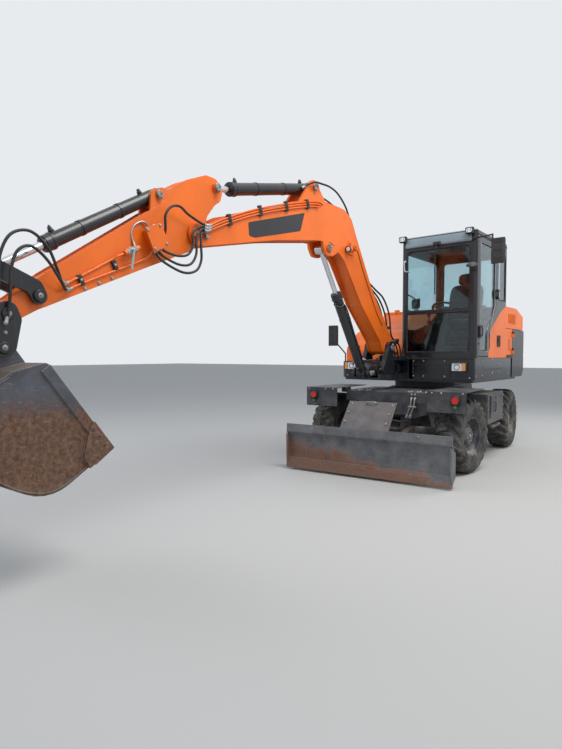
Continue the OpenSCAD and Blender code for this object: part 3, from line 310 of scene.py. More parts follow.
def box_outline(low, high, radius, steps=4):
    """A rectangle between two corners with rounded corners of its own."""
    return rounded([low, (high[0], low[1]), high, (low[0], high[1])], radius, steps)


def slab(outline, x0, x1, bevel=0.002):
    """A plate: an outline of (forward, up) pairs given a thickness from x0 to x1, its edges bevelled."""
    outline = np.asarray(outline, float)
    before, after = unit(outline - np.roll(outline, 1, 0)), unit(np.roll(outline, -1, 0) - outline)
    outward = unit(np.stack([before[:, 1] + after[:, 1], -before[:, 0] - after[:, 0]], 1))
    area = np.sum(outline[:, 0] * np.roll(outline[:, 1], -1) - outline[:, 1] * np.roll(outline[:, 0], -1))
    inner = outline - np.sign(area) * bevel * outward
    step = bevel if x1 > x0 else -bevel
    rings = [(x0, inner), (x0 + step, outline), (x1 - step, outline), (x1, inner)]
    points = [np.column_stack([np.full(len(ring), x), ring]) for x, ring in rings]
    return grid(points, loop_v=True, capped=True)


def placing(origin, left, front):
    """Where a group's own (left, forward, up) coordinates lie in the machine: an origin and three
    directions."""
    left, front = unit(left), unit(front)
    return np.asarray(origin, float), np.stack([left, front, np.cross(front, left)])


def put(place, *shapes):
    """Shapes moved from a group's own coordinates to the machine's."""
    origin, axes = place
    return [(origin + points @ axes, quads, ends) for points, quads, ends in shapes]


def outwards(shape):
    """The same shape with its faces turned out: a closed shape's volume, summed over its faces, is
    positive."""
    points, quads, ends = shape
    middle = points - points.mean(0)
    a, b, c, d = (middle[quads[:, k]] for k in range(4))
    volume = np.sum(a * np.cross(b, c)) + np.sum(a * np.cross(c, d))
    for end in ends:
        volume += np.sum(middle[end[0]] * np.cross(middle[end[1:-1]], middle[end[2:]]))
    return shape if volume > 0 else (points, quads[:, ::-1], [end[::-1] for end in ends])


def build(name, shapes, material, body, smooth=35):
    """One piece from closed shapes, riding on a body; faces that meet at less than smooth degrees shade as
    one."""
    shapes = [outwards(shape) for shape in shapes]
    starts = np.cumsum([0] + [len(shape[0]) for shape in shapes])
    faces = []
    for (points, quads, ends), start in zip(shapes, starts):
        faces += (quads + start).tolist() + [(end + start).tolist() for end in ends]
    mesh = bpy.data.meshes.new(name)
    mesh.from_pydata(np.concatenate([shape[0] for shape in shapes]).tolist(), [], faces)
    mesh.polygons.foreach_set("use_smooth", np.ones(len(faces), bool))
    mesh.set_sharp_from_angle(angle=np.radians(smooth))
    mesh.materials.append(material)
    made = bpy.data.objects.new(name, mesh)
    scene.collection.objects.link(made)
    if body:
        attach(made, body)
    return made


def bolts(places, axis, size=0.012):
    """Hexagon heads on round washers; size is the head's radius."""
    made = []
    for place in places:
        made.append(lathe([(size * 1.3, 0), (size * 1.3, size * 0.2), (size * 1.15, size * 0.25)], place,
                          axis, 14))
        made.append(lathe([(size, size * 0.2), (size, size * 0.72), (size * 0.85, size * 0.85)], place,
                          axis, 6))
    return made


joint_of = {joint["name"]: joint for joint in frame["joints"]}
swing_at = np.array(joint_of["upper_swing"]["pos_m"])
machine = placing((swing_at[0], swing_at[1], 0), (1, 0, 0), (0, -1, 0))
chassis_paint = paint("chassis_paint", (0.026, 0.030, 0.040), rough=0.36, dust=0.5, wear=0.4, low=0.6,
                      streak=0.25, streak_colour=(0.11, 0.10, 0.09))
cast_paint = paint("cast_paint", (0.035, 0.037, 0.042), rough=0.5, dust=0.75, wear=0.3, grain=4.0, low=0.55)
zinc = paint("zinc", (0.42, 0.42, 0.40), rough=0.34, dust=0.3, wear=0.3, metal=0.85, worn=(0.3, 0.17, 0.09))
hose_rubber = paint("hose_rubber", (0.014, 0.014, 0.015), rough=0.5, dust=0.3, wear=0.0, grain=3.0)
dress(chassis_paint, "chassis_frame", "front_fenders", "side_steps")
dress(cast_paint, "front_axle", "rear_axle", "drive_gearbox", "swing_bearing", "front_left_knuckle",
      "front_right_knuckle")
UP = (0, 0, 1)
FRONT = (0, 1, 0)
LEFT = (1, 0, 0)
RIGHT = (-1, 0, 0)
deck_top = 0.905
nose_bolts = [(x * side, 1.33 - row, deck_top) for side in (-1, 1) for x in (0.26, 0.36, 0.46)
              for row in (0.0, 0.09)]
build("chassis_bolts", put(machine, *bolts(nose_bolts, UP, 0.014)), zinc, "chassis")
# Two steel lines run down the nose plate to the blade cylinder's hoses
line_route = [[(x, 1.408, 0.842), (x, 1.424, 0.838), (x, 1.430, 0.815), (x - 0.015, 1.430, 0.74),
               (x - 0.05, 1.428, 0.65)] for x in (0.32, 0.36)]
line_shapes = [tube(curve(route, 26), 0.009, 10) for route in line_route]
line_shapes += [lathe([(0.016, 0), (0.016, 0.03), (0.013, 0.034)], route[-1], (0, 0, -1), 6)
                for route in line_route]
line_shapes += [lathe([(0.015, -0.002), (0.015, 0.006), (0.012, 0.012)], (x, 1.4105, z), FRONT, 6)
                for x in (0.32, 0.36) for z in (0.842, 0.885)]
line_shapes += [slab(box_outline((1.4105, 0.735), (1.438, 0.755), 0.004), 0.285, 0.375)]
build("nose_lines", put(machine, *line_shapes), zinc, "chassis")


# Wheels
# Four tyres with deep slanted lugs, each a carcass with twenty-two lugs a side moulded on it, on pressed
# steel rims that eight nuts hold to the hub; rubber grey with dried mud, thickest on the lugs' edges.
tyre_rubber = paint("tyre_rubber", (0.016, 0.016, 0.017), rough=0.68, dust=0.5, wear=0.8,
                    worn=(0.27, 0.24, 0.20), grain=2.0, low=0.75, dust_colour=(0.22, 0.205, 0.18))
rim_paint = paint("rim_paint", (0.034, 0.040, 0.054), rough=0.4, dust=0.7, wear=0.5, low=0.55)
LUGS = 22
LUG_SLANT = 0.27
TYRE_RIM, TYRE_TOP = 0.2135, 0.4205
side_arc = [(TYRE_RIM, 0.112), (0.222, 0.127), (0.252, 0.139), (0.300, 0.1485), (0.340, 0.147),
            (0.372, 0.134), (0.391, 0.108), (0.397, 0.060), (0.3985, 0.0)]
half_profile = curve(side_arc, 20)
carcass_profile = np.vstack([half_profile, (half_profile * (1, -1))[-2::-1]])
lug_top = curve([(TYRE_TOP, -0.014), (TYRE_TOP, 0.05), (0.4185, 0.090), (0.410, 0.115), (0.394, 0.134),
                 (0.371, 0.1465), (0.343, 0.1515)], 12)
lug_foot = curve([(0.392, -0.014), (0.391, 0.05), (0.387, 0.085), (0.379, 0.104), (0.366, 0.121),
                  (0.350, 0.134), (0.335, 0.141)], 12)


def lug(turn, mirror):
    """One bar of the tread: its foot and top follow the tyre's section from the middle to the shoulder while
    its angle round the tyre leans back, and its width grows from 36 to 50 mm."""
    share = np.linspace(0, 1, len(lug_top))[:, None]
    half = 0.018 + 0.007 * share
    sides = np.array([-1.28, -1.0, -0.86, 0.86, 1.0, 1.28])
    lift = np.array([0.0, 0.9, 1.0, 1.0, 0.9, 0.0])
    section = lug_foot[:, None] + (lug_top - lug_foot)[:, None] * lift[None, :, None]
    angle = turn + LUG_SLANT * share ** 1.2 + half * sides / section[..., 0]
    radius, height = section[..., 0], section[..., 1] * mirror
    return grid(np.stack([height, radius * np.sin(angle), radius * np.cos(angle)], -1), loop_v=True,
                capped=True)


for corner in ("front_left", "front_right", "rear_left", "rear_right"):
    wheel = joint_of[corner + "_wheel"]
    outward = np.array(wheel["axis"]) * (1 if corner.endswith("left") else -1)
    hub = placing(wheel["pos_m"], outward, np.cross(outward, UP))
    axle = LEFT
    pitch = 2 * np.pi / LUGS
    tread = [lathe([(r, y) for r, y in carcass_profile], (0, 0, 0), axle, 120, ring=True)]
    tread += [lug(pitch * k, 1) for k in range(LUGS)] + [lug(pitch * (k + 0.5), -1) for k in range(LUGS)]
    for face in (-1, 1):
        for r, y in ((0.262, 0.1425), (0.322, 0.1495)):
            turn = np.linspace(0, 2 * np.pi, 9)[:-1]
            bead = [(r + 0.0035 * np.sin(t), face * (y + 0.0025 * np.cos(t))) for t in turn]
            tread.append(lathe(bead, (0, 0, 0), axle, 72, ring=True))
    tyre = build(corner + "_tread", put(hub, *tread), tyre_rubber, corner + "_wheel",
                 smooth=30)
    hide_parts(corner + "_tyre")
    dress(rim_paint, corner + "_rim")
    lip = [(0.2165 + 0.009 * np.cos(t), 0.119 + 0.006 * np.sin(t))
           for t in np.linspace(0, 2 * np.pi, 11)[:-1]]
    rim_parts = [lathe([(r, face * y) for r, y in lip], (0, 0, 0), axle, 64, ring=True) for face in (-1, 1)]
    rim_parts += [lathe([(0.205, 0.100), (0.192, 0.060), (0.186, 0.022), (0.172, 0.012), (0.166, 0.020),
                         (0.182, 0.030), (0.190, 0.064), (0.202, 0.104)], (0, 0, 0), axle, 64, ring=True)]
    around = 2 * np.pi * np.arange(8) / 8
    nuts = [(0.0245, 0.148 * np.sin(a), 0.148 * np.cos(a)) for a in around]
    hub_bolts = [(0.0945, 0.058 * np.sin(a), 0.058 * np.cos(a)) for a in around[::2] + 0.3]
    wheel_nuts = bolts(nuts, axle, 0.016) + bolts(hub_bolts, axle, 0.008)
    wheel_nuts += [lathe([(0.0075, 0), (0.0075, 0.026), (0.006, 0.028)], place, axle, 10) for place in nuts]
    wheel_nuts.append(lathe([(0.020, 0), (0.020, 0.008), (0.014, 0.012)], (0.094, 0, 0), axle, 20))
    wheel_nuts.append(tube(curve([(0.03, 0, 0.178), (0.06, 0, 0.172), (0.085, 0, 0.170)], 8), 0.0045, 8))
    build(corner + "_rim_lip", put(hub, *rim_parts), rim_paint, corner + "_wheel")
    build(corner + "_nuts", put(hub, *wheel_nuts), zinc, corner + "_wheel")


# Front fenders, lamps and side steps
# Folded plates over the front wheels with a round red lamp and a green coupling cap each, and welded boxes
# with a door, a pull handle and a studded step between the wheels.
black_plastic = paint("black_plastic", (0.016, 0.016, 0.018), rough=0.45, dust=0.4, wear=0.0, grain=6.0)
lens_red = paint("lens_red", (0.62, 0.012, 0.010), rough=0.12, dust=0.15, wear=0.0, coat=0.6)
green_cap = paint("green_cap", (0.02, 0.22, 0.06), rough=0.4, dust=0.25, wear=0.0)
dress(lens_red, "fender_lamps")
FENDER_IN, FENDER_OUT, FENDER_FRONT, FENDER_TOP = 0.545, 0.965, 1.570, 0.940
lamp_x, lamp_z, lamp_r = 0.855, 0.850, 0.038
lamp_holders, caps, fender_bolts, flap_shapes = [], [], [], []
for side in (-1, 1):
    ring = [(lamp_r + 0.006 + 0.007 * np.cos(t), 0.012 + 0.014 * np.sin(t))
            for t in np.linspace(0, 2 * np.pi, 13)[:-1]]
    at_lamp = (side * lamp_x, FENDER_FRONT + 0.0005, lamp_z)
    lamp_holders.append(lathe(ring, at_lamp, FRONT, 36, ring=True))
    holder = box_outline((FENDER_FRONT - 0.0005, 0.790), (FENDER_FRONT + 0.004, 0.905), 0.001)
    lamp_holders.append(slab(holder, side * lamp_x - 0.055, side * lamp_x + 0.055))
    caps.append(lathe([(0.017, 0), (0.017, 0.020), (0.012, 0.026)],
                      (side * lamp_x, FENDER_FRONT + 0.001, 0.776), FRONT, 16))
    fender_bolts += [(side * x, FENDER_FRONT + 0.0003, 0.922) for x in (0.60, 0.70, 0.93)]
    flap_shapes.append(tube(curve([(side * (FENDER_OUT - 0.004), 0.74, FENDER_TOP - 0.004),
                                   (side * (FENDER_OUT - 0.004), 1.2, FENDER_TOP - 0.004),
                                   (side * (FENDER_OUT - 0.004), FENDER_FRONT - 0.03, FENDER_TOP - 0.004)],
                                  8), 0.0042, 8))
    flap_shapes.append(tube([(side * FENDER_IN, FENDER_FRONT - 0.004, 0.718),
                             (side * FENDER_OUT, FENDER_FRONT - 0.004, 0.718)], 0.005, 8))
build("lamp_holders", put(machine, *lamp_holders), black_plastic, "chassis")
build("coupling_caps", put(machine, *caps), green_cap, "chassis")
build("fender_bolts", put(machine, *bolts(fender_bolts, FRONT, 0.009)), zinc, "chassis")
build("fender_rims", put(machine, *flap_shapes), chassis_paint, "chassis")

STEP_OUT, STEP_TOP, RUNG_TOP = 0.940, 0.850, 0.441
studs = []
for side in (-1, 1):
    for x in np.arange(STEP_OUT - 0.20, STEP_OUT - 0.02, 0.036):
        studs += [(side * x, f, STEP_TOP + 0.0003) for f in np.arange(-0.40, 0.41, 0.05)]
    studs += [(side * x, f, RUNG_TOP) for x in (STEP_OUT - 0.075, STEP_OUT - 0.035)
              for f in np.arange(-0.2, 0.21, 0.05)]
stud = [(0.008, -0.002), (0.008, 0.002), (0.005, 0.004)]
build("step_studs", put(machine, *[lathe(stud, place, UP, 8) for place in studs]), zinc, "chassis")
step_parts, step_bolts = [], []
for side in (-1, 1):
    face = side * (STEP_OUT + 0.0003)
    step_parts.append(tube(curve([(face, 0.12, 0.62), (face + side * 0.022, 0.12, 0.63),
                                  (face + side * 0.024, 0.12, 0.68), (face + side * 0.022, 0.12, 0.73),
                                  (face, 0.12, 0.74)], 16), 0.006, 8))
    for f in (-0.28, 0.02):
        step_parts.append(tube([(face + side * 0.004, f - 0.03, STEP_TOP - 0.055),
                                (face + side * 0.004, f + 0.03, STEP_TOP - 0.055)], 0.007, 10))
    step_bolts += [(face, f, z) for f in (-0.435, 0.435) for z in (0.53, 0.665, 0.80)]
build("step_fittings", put(machine, *step_parts), black_plastic, "chassis")
build("step_bolts", put(machine, *(bolts([p for p in step_bolts if p[0] > 0], LEFT, 0.008)
                                   + bolts([p for p in step_bolts if p[0] < 0], RIGHT, 0.008))), zinc,
      "chassis")


# Blade
# A curved mouldboard of welded plate with a bolted cutting edge and a lip; the paint is worn to blue-grey
# steel, rust creeps up from the edge, most towards the machine's right, and mud has dried on its foot.
def ground_steel(name, steel, rust, mud, rust_top, mud_top, lean, rough=0.45):
    """Steel that works in soil: rust rises from the lower edge to rust_top with a ragged border that lean
    tilts across the machine, dried mud covers the part below mud_top, and long scratches show bare metal."""
    made, tree, shader = new_material(name)
    place = add_node(tree, "ShaderNodeTexCoord").outputs["Object"]
    facing = add_node(tree, "ShaderNodeNewGeometry").outputs["Normal"]
    part = add_node(tree, "ShaderNodeSeparateXYZ", {0: place}).outputs
    patches = noise(tree, place, 5.5, 9.0, 0.68)
    fine = noise(tree, place, 38.0, 6.0, 0.7)
    ragged = maths(tree, "MULTIPLY_ADD", patches, -0.42, 0.21)
    level = maths(tree, "ADD", part["Z"], maths(tree, "MULTIPLY_ADD", part["X"], lean, ragged))
    rusty = ramp(tree, level, rust_top + 0.05, rust_top - 0.07)
    rust_share = maths(tree, "MAXIMUM", rusty, ramp(tree, fine, 0.60, 0.70, 0.0, 0.7))
    bare = scaled(tree, (*steel,), ramp(tree, patches, 0.3, 0.7, 0.62, 1.35))
    rust_tone = scaled(tree, (*rust,), ramp(tree, fine, 0.35, 0.65, 0.45, 1.3))
    rusted = mixed(tree, rust_share, bare, rust_tone)
    scratch = ramp(tree, stretched(tree, place, (3.0, 14.0, 90.0), 5.0, 0.75), 0.60, 0.68, 0.0, 0.55)
    scored = mixed(tree, scratch, rusted, (0.33, 0.31, 0.29, 1))
    low_level = maths(tree, "MULTIPLY_ADD", fine, -0.16, level)
    muddy = ramp(tree, low_level, mud_top - 0.03, mud_top - 0.12, 0.0, 0.85)
    up = add_node(tree, "ShaderNodeSeparateXYZ", {0: facing}).outputs["Z"]
    soil = maths(tree, "MAXIMUM", muddy, ramp(tree, up, 0.45, 0.95, 0.0, 0.7))
    mudded = mixed(tree, soil, scored, (*mud, 1))
    soft, rubbed = worn_edges(tree, facing, 0.82, 0.8)
    dull = maths(tree, "MULTIPLY_ADD", rust_share, 0.30, rough)
    bump = add_node(tree, "ShaderNodeBump",
                    {"Strength": 0.35, "Distance": 0.003, "Height": fine, "Normal": soft})
    feed(tree, shader, {"Base Color": mixed(tree, rubbed, mudded, (0.36, 0.34, 0.32, 1)),
                        "Roughness": maths(tree, "MULTIPLY_ADD", soil, 0.25, dull, clamp=True),
                        "Metallic": ramp(tree, rust_share, 0.0, 1.0, 0.45, 0.0), "Normal": bump.outputs[0]})
    return made


blade_steel = ground_steel("blade_steel", (0.140, 0.145, 0.155), (0.33, 0.125, 0.050), (0.13, 0.080, 0.062),
                           rust_top=0.185, mud_top=0.150, lean=0.14)
dress(blade_steel, "blade")
EDGE_TOP = 0.14
edge_bolt_x = np.linspace(-0.88, 0.88, 11)
edge_face = (0, 0.965, 0.262)
plow = [(0.017, -0.002), (0.017, 0.0015), (0.011, 0.0035), (0.006, 0.0036)]
blade_parts = [lathe(plow, (x, 2.0285, 0.102), edge_face, 16) for x in edge_bolt_x]
blade_parts += bolts([(0.615, 2.036, 0.500), (0.655, 2.037, 0.466), (-0.62, 2.036, 0.492)], FRONT, 0.012)


def weld(route, radius=0.0055, ripple=0.011):
    """A weld bead: a tube whose radius swells once per ripple along its way."""
    route = np.asarray(route, float)
    length = np.sum(np.linalg.norm(np.diff(route, axis=0), axis=1))
    count = max(8, int(4 * length / ripple))
    step = np.linspace(0, len(route) - 1, count)
    path = np.stack([np.interp(step, np.arange(len(route)), route[:, k]) for k in range(3)], 1)
    return tube(path, radius * (1 + 0.16 * np.sin(np.arange(count) * np.pi / 2)), 7)


blade_face = [(2.012, 0.145), (1.997, 0.20), (1.988, 0.28), (1.994, 0.36), (2.018, 0.41), (2.043, 0.437)]
blade_parts.append(weld([(-0.47, f - 0.001, z) for f, z in blade_face]))
blade_parts += [weld([(-0.94, 2.0365, 0.447), (0.94, 2.0365, 0.447)], 0.0045)]
blade_parts += [weld([(-0.93, 2.015, EDGE_TOP + 0.002), (0.93, 2.015, EDGE_TOP + 0.002)], 0.0045)]
build("blade_fittings", put(machine, *blade_parts), blade_steel, "blade")
# The slanted cover over the blade's cylinder carries a bar handle and a lug
cover_slope = unit((0, 0.263, -0.262))
cover_top = np.array((0.0, 1.765, 0.808))
cover_out = unit((0, 0.262, 0.263))
handle_half = 0.055
handle_feet = cover_top + 0.03 * cover_slope
handle = curve([handle_feet + (-handle_half, 0, 0) - 0.004 * cover_out,
                handle_feet + (-handle_half, 0, 0) + 0.03 * cover_out, handle_feet + 0.036 * cover_out,
                handle_feet + (handle_half, 0, 0) + 0.03 * cover_out,
                handle_feet + (handle_half, 0, 0) - 0.004 * cover_out], 22)
cover_parts = [tube(handle, 0.007, 10)]
cover_bolts = [cover_top + x * np.array(LEFT) + d * cover_slope + 0.0002 * cover_out
               for x in (-0.24, 0.24) for d in (0.03, 0.16, 0.29)]
cover_parts += bolts(cover_bolts, cover_out, 0.009)
build("cover_handle", put(machine, *cover_parts), zinc, "blade")


# Upper frame, covers and counterweight
# The turning deck with its pressed covers and the cast counterweight: blue-black gloss paint under a film of
# dust, panels parted by black gaps and held by zinc bolts, head lamps in black bezels.
def tilted(place, pivot, degrees):
    """A frame at a pin: moved to the pivot and tipped up about the left axis."""
    origin, (left, front, up) = place
    tip = np.radians(degrees)
    return placing(origin + np.asarray(pivot, float) @ place[1], left, np.cos(tip) * front + np.sin(tip) * up)


def strip(outline, width, base, top, plane):
    """A band along a closed outline, as wide as width on its inner side and standing from base to top, its
    upper edges rolled. A front plane's outline is (left, up) pairs, a side plane's is (forward, up) pairs."""
    outline = np.asarray(outline, float)
    before, after = unit(outline - np.roll(outline, 1, 0)), unit(np.roll(outline, -1, 0) - outline)
    turned = unit(np.stack([before[:, 1] + after[:, 1], -before[:, 0] - after[:, 0]], 1))
    area = np.sum(outline[:, 0] * np.roll(outline[:, 1], -1) - outline[:, 1] * np.roll(outline[:, 0], -1))
    inward = -np.sign(area) * turned
    roll = 0.3 * abs(top - base)
    shoulder = top - np.sign(top - base) * roll
    across = np.array([0, 0, roll, width - roll, width, width])
    height = np.array([base, shoulder, top, top, shoulder, base])
    flat = outline[:, None] + across[None, :, None] * inward[:, None]
    level = np.broadcast_to(height, flat.shape[:2])
    order = (flat[..., 0], level, flat[..., 1]) if plane == "front" else (level, flat[..., 0], flat[..., 1])
    return grid(np.stack(order, -1), loop_u=True, loop_v=True)


def bar(low, high, bevel=0.0015):
    """A straight bar between two corners (left, forward, up), its edges bevelled."""
    low, high = np.minimum(low, high), np.maximum(low, high)
    return slab([(low[1], low[2]), (high[1], low[2]), (high[1], high[2]), (low[1], high[2])], low[0], high[0],
                min(bevel, 0.3 * np.min(high - low)))


UPPER_SWING = -5.5
upper_left = np.array([np.cos(np.radians(UPPER_SWING)), np.sin(np.radians(UPPER_SWING)), 0])
upper = placing((swing_at[0], swing_at[1], 0), upper_left, np.cross(upper_left, UP))
body_dark = paint("body_dark", (0.006, 0.007, 0.012), rough=0.20, dust=0.04, wear=0.16, coat=0.3, low=0.75,
                  streak=0.18, streak_colour=(0.085, 0.082, 0.078))
cast_dark = paint("cast_dark", (0.007, 0.008, 0.012), rough=0.34, dust=0.05, wear=0.2, grain=3.0, coat=0.3,
                  low=0.8, streak=0.2, streak_colour=(0.085, 0.082, 0.078))
engine_iron = paint("engine_iron", (0.06, 0.062, 0.066), rough=0.6, dust=0.5, wear=0.2, grain=5.0, metal=0.3)
lens_white = paint("lens_white", (0.80, 0.82, 0.84), rough=0.08, dust=0.10, wear=0.0, coat=0.8, grain=0.3)
lens_amber = paint("lens_amber", (0.85, 0.30, 0.03), rough=0.12, dust=0.10, wear=0.0, coat=0.6)
seal_rubber = paint("seal_rubber", (0.012, 0.012, 0.013), rough=0.6, dust=0.25, wear=0.0, grain=2.0)
dress(body_dark, "upper_frame", "lower_covers")
dress(cast_dark, "counterweight")
dress(engine_iron, "engine_block")
dress(lens_white, "head_lamps")
HALF, COVER_FRONT, TAIL = 0.922, 0.720, 1.650
face = COVER_FRONT + 0.0004
seams = [bar((x - 0.0025, face - 0.002, 1.045), (x + 0.0025, face + 0.0006, 1.285)) for x in (0.235, 0.640)]
seams += [bar((0.140, face - 0.002, 1.2075), (0.640, face + 0.0006, 1.2125))]
seams += [bar((HALF - 0.002, 0.3875, 1.04), (HALF + 0.0008, 0.3925, 1.285)),
          bar((HALF - 0.002, -0.35, 1.155), (HALF + 0.0008, 0.3875, 1.160)),
          bar((-HALF - 0.0008, -0.30, 1.145), (-HALF + 0.002, 0.50, 1.150))]
build("cover_seams", put(upper, *seams), seal_rubber, "upper")
front_bolts = [(x, face, z) for x,
               z in ((0.165, 1.26), (0.165, 1.07), (0.30, 1.26), (0.57, 1.26), (0.57, 1.07), (0.30, 1.07),
                     (0.875, 1.06), (-0.52, 1.20), (-0.52, 1.06), (-0.80, 1.06))]
left_bolts = [(HALF + 0.0004, f, z) for f,
              z in ((0.055, 1.272), (-0.190, 1.218), (0.047, 1.107), (-0.237, 1.113), (0.42, 1.25),
                    (0.42, 1.08), (0.64, 1.08), (-0.60, 1.08))]
right_bolts = [(-HALF - 0.0004, f, z) for f, z in ((0.50, 1.20), (0.50, 1.07), (0.10, 1.20), (0.10, 1.07),
                                                   (-0.35, 1.20), (-0.35, 1.07), (-0.70, 1.10))]
cover_bolts = bolts(front_bolts, FRONT, 0.009) + bolts(left_bolts, LEFT, 0.009)
cover_bolts += bolts(right_bolts, RIGHT, 0.009)
build("cover_bolts", put(upper, *cover_bolts), zinc, "upper")
lamp_trim, amber, lamp_lines = [], [], []
for x in (0.755, -0.745):
    outline = box_outline((x - 0.096, 1.134), (x + 0.096, 1.246), 0.012)
    lamp_trim.append(strip(outline, 0.014, COVER_FRONT + 0.0005, COVER_FRONT + 0.036, "front"))
    sign = 1 if x > 0 else -1
    amber.append(bar((x + sign * 0.046, COVER_FRONT + 0.0302, 1.146),
                     (x + sign * 0.082, COVER_FRONT + 0.036, 1.234), 0.003))
    lamp_lines += [bar((x + sign * 0.038 - 0.0015, COVER_FRONT + 0.0302, 1.146),
                       (x + sign * 0.038 + 0.0015, COVER_FRONT + 0.033, 1.234), 0.0005)]
    rings = [(0.030, 0.0), (0.036, 0.003), (0.034, 0.006), (0.030, 0.0045)]
    lamp_lines.append(lathe(rings, (x - sign * 0.022, COVER_FRONT + 0.0300, 1.190), FRONT, 32, ring=True))
build("head_lamp_bezels", put(upper, *lamp_trim, *lamp_lines), black_plastic, "upper")
build("turn_lamps", put(upper, *amber), lens_amber, "upper")
# The ring round the hose opening beside the swing post, and the rubber ledge along the cab's foot
port = [(0.060, 0.0003), (0.096, 0.0003), (0.097, 0.002), (0.092, 0.003), (0.064, 0.003), (0.060, 0.002)]
port_at = (-0.11, COVER_FRONT, 1.166)
build("front_port", put(upper, lathe(port, port_at, FRONT, 40, ring=True)), black_plastic, "upper")
ledge = [bar((-0.028, COVER_FRONT - 0.030, 1.281), (0.928, COVER_FRONT + 0.012, 1.301), 0.004)]
build("cab_ledge", put(upper, *ledge), seal_rubber, "upper")
tail_red, tail_frame, lift_parts = [], [], []
for side in (-1, 1):
    tail_face = -np.sqrt(TAIL ** 2 - 0.64 ** 2)
    along = unit((side * 0.64, tail_face, 0))
    lamp_place = placing(along * (TAIL - 0.0005) + np.array((0, 0, 1.42)), np.cross(UP, along), along)
    tail_frame += put(lamp_place,
                      strip(box_outline((-0.072, -0.030), (0.072, 0.030), 0.010), 0.010, -0.004, 0.018,
                            "front"))
    tail_red += put(lamp_place, *(bar((a, -0.004, -0.0195), (b, 0.013, 0.0195), 0.004)
                                  for a, b in ((-0.061, -0.002), (0.002, 0.061))))
    ring_way = np.linspace(0, np.pi, 17)
    lift_parts.append(tube([(side * 0.52, -1.48 + 0.020 * np.cos(a), 1.652 + 0.036 * np.sin(a))
                            for a in ring_way], 0.0075, 8))
build("tail_lamps", put(upper, *tail_red), lens_red, "upper")
build("tail_frames", put(upper, *tail_frame), black_plastic, "upper")
build("lifting_eyes", put(upper, *lift_parts), zinc, "upper")


# Engine hood, side doors and right cover
# Pressed orange panels with rounded edges: the hood swings up on two hinges, the doors open outwards; black
# mesh lies behind the slots, and each panel has a sunk latch and a rubber edge.
orange_paint = paint("orange_paint", (0.84, 0.150, 0.004), rough=0.36, dust=0.05, wear=0.2, coat=0.15,
                     worn=(0.20, 0.07, 0.03), low=0.6, streak=0.10, streak_colour=(0.42, 0.16, 0.07))
dress(orange_paint, "engine_hood", "left_side_door", "right_side_door", "right_cover", "boom_lamp",
      "arm_valves", "boom", "arm")


def mesh_screen(x_range, f, z_range, pitch, thread):
    """A screen in a front plane: straight wires both ways, the level ones lying just before the upright ones.
    """
    xs = np.arange(x_range[0] + pitch / 2, x_range[1], pitch)
    zs = np.arange(z_range[0] + pitch / 2, z_range[1], pitch)
    wires = [tube([(x, f, z_range[0]), (x, f, z_range[1])], thread, 5) for x in xs]
    return wires + [tube([(x_range[0], f + thread, z), (x_range[1], f + thread, z)], thread, 5) for z in zs]


screens = []
for x in (-0.42, -0.12, 0.18):
    screens += mesh_screen((x - 0.005, x + 0.245), -1.585, (1.710, 1.790), 0.012, 0.0016)
build("hood_screens", put(upper, *screens), seal_rubber, "engine_hood")
HOOD_HALF = 0.912
slot_lips = []
for y in np.arange(0.640, 0.949, 0.044):
    for side in (-1, 1):
        lip = box_outline((-y - 0.020, 1.768), (-y + 0.002, 1.902), 0.004, 3)
        slot_lips.append(strip(lip, 0.003, side * (HOOD_HALF - 0.003), side * (HOOD_HALF + 0.0022), "side"))
build("hood_slot_lips", put(upper, *slot_lips), orange_paint, "engine_hood")
hood_latch = [bar((-0.055, -1.634, 1.730), (0.055, -1.646, 1.792), 0.004)]
hood_latch += [tube(curve([(-0.04, -1.640, 1.745), (-0.04, -1.662, 1.748), (0, -1.668, 1.748),
                           (0.04, -1.662, 1.748), (0.04, -1.640, 1.745)], 20), 0.006, 8)]
raised_latch = [(points + (0.0, 0.015, 0.10), quads, ends) for points, quads, ends in hood_latch]
build("hood_latch", put(upper, *raised_latch), black_plastic, "engine_hood")
hinge_caps = [lathe([(0.014, -0.003), (0.016, 0.0), (0.016, 0.004), (0.009, 0.007)], (x + e, -0.540, 2.010),
                    (1 if e > 0 else -1, 0, 0), 14) for x in (-0.70, 0.60) for e in (-0.031, 0.031)]
build("hood_hinge_caps", put(upper, *hinge_caps), zinc, "engine_hood")
# A short exhaust outlet stands on the hood's right rear, its end cut at a slant
pipe_path = curve([(-0.62, -1.05, 1.975), (-0.62, -1.05, 2.06), (-0.622, -1.062, 2.12), (-0.63, -1.10, 2.165),
                   (-0.636, -1.14, 2.19)], 22)
outlet = grid(np.concatenate([np.asarray(tube(pipe_path, 0.033, 20)[0]).reshape(22, 20, 3),
                              np.asarray(tube(pipe_path, 0.029, 20)[0]).reshape(22, 20, 3)[::-1]]),
              loop_u=True, loop_v=True)
collar = lathe([(0.033, 0.0), (0.060, 0.0), (0.060, 0.006), (0.045, 0.012), (0.033, 0.012)],
               (-0.62, -1.05, 1.985), UP, 28, ring=True)
build("exhaust_outlet", put(upper, outlet, collar), engine_iron, "engine_hood")


def side_latch(x, f, z, side, size=(0.065, 0.075)):
    """A sunk latch: a raised rim, a shallow tray and a paddle across it."""
    rim = strip(box_outline((f - size[0], z - size[1]), (f + size[0], z + size[1]), 0.018), 0.010,
                x - side * 0.001, x + side * 0.006, "side")
    tray = slab(box_outline((f - size[0] + 0.008, z - size[1] + 0.008),
                            (f + size[0] - 0.008, z + size[1] - 0.008), 0.012), x - side * 0.001,
                x + side * 0.0016, 0.0006)
    paddle = slab(box_outline((f - 0.034, z - 0.020), (f + 0.034, z + 0.050), 0.010), x + side * 0.0017,
                  x + side * 0.0095, 0.0025)
    return [rim, tray, paddle]


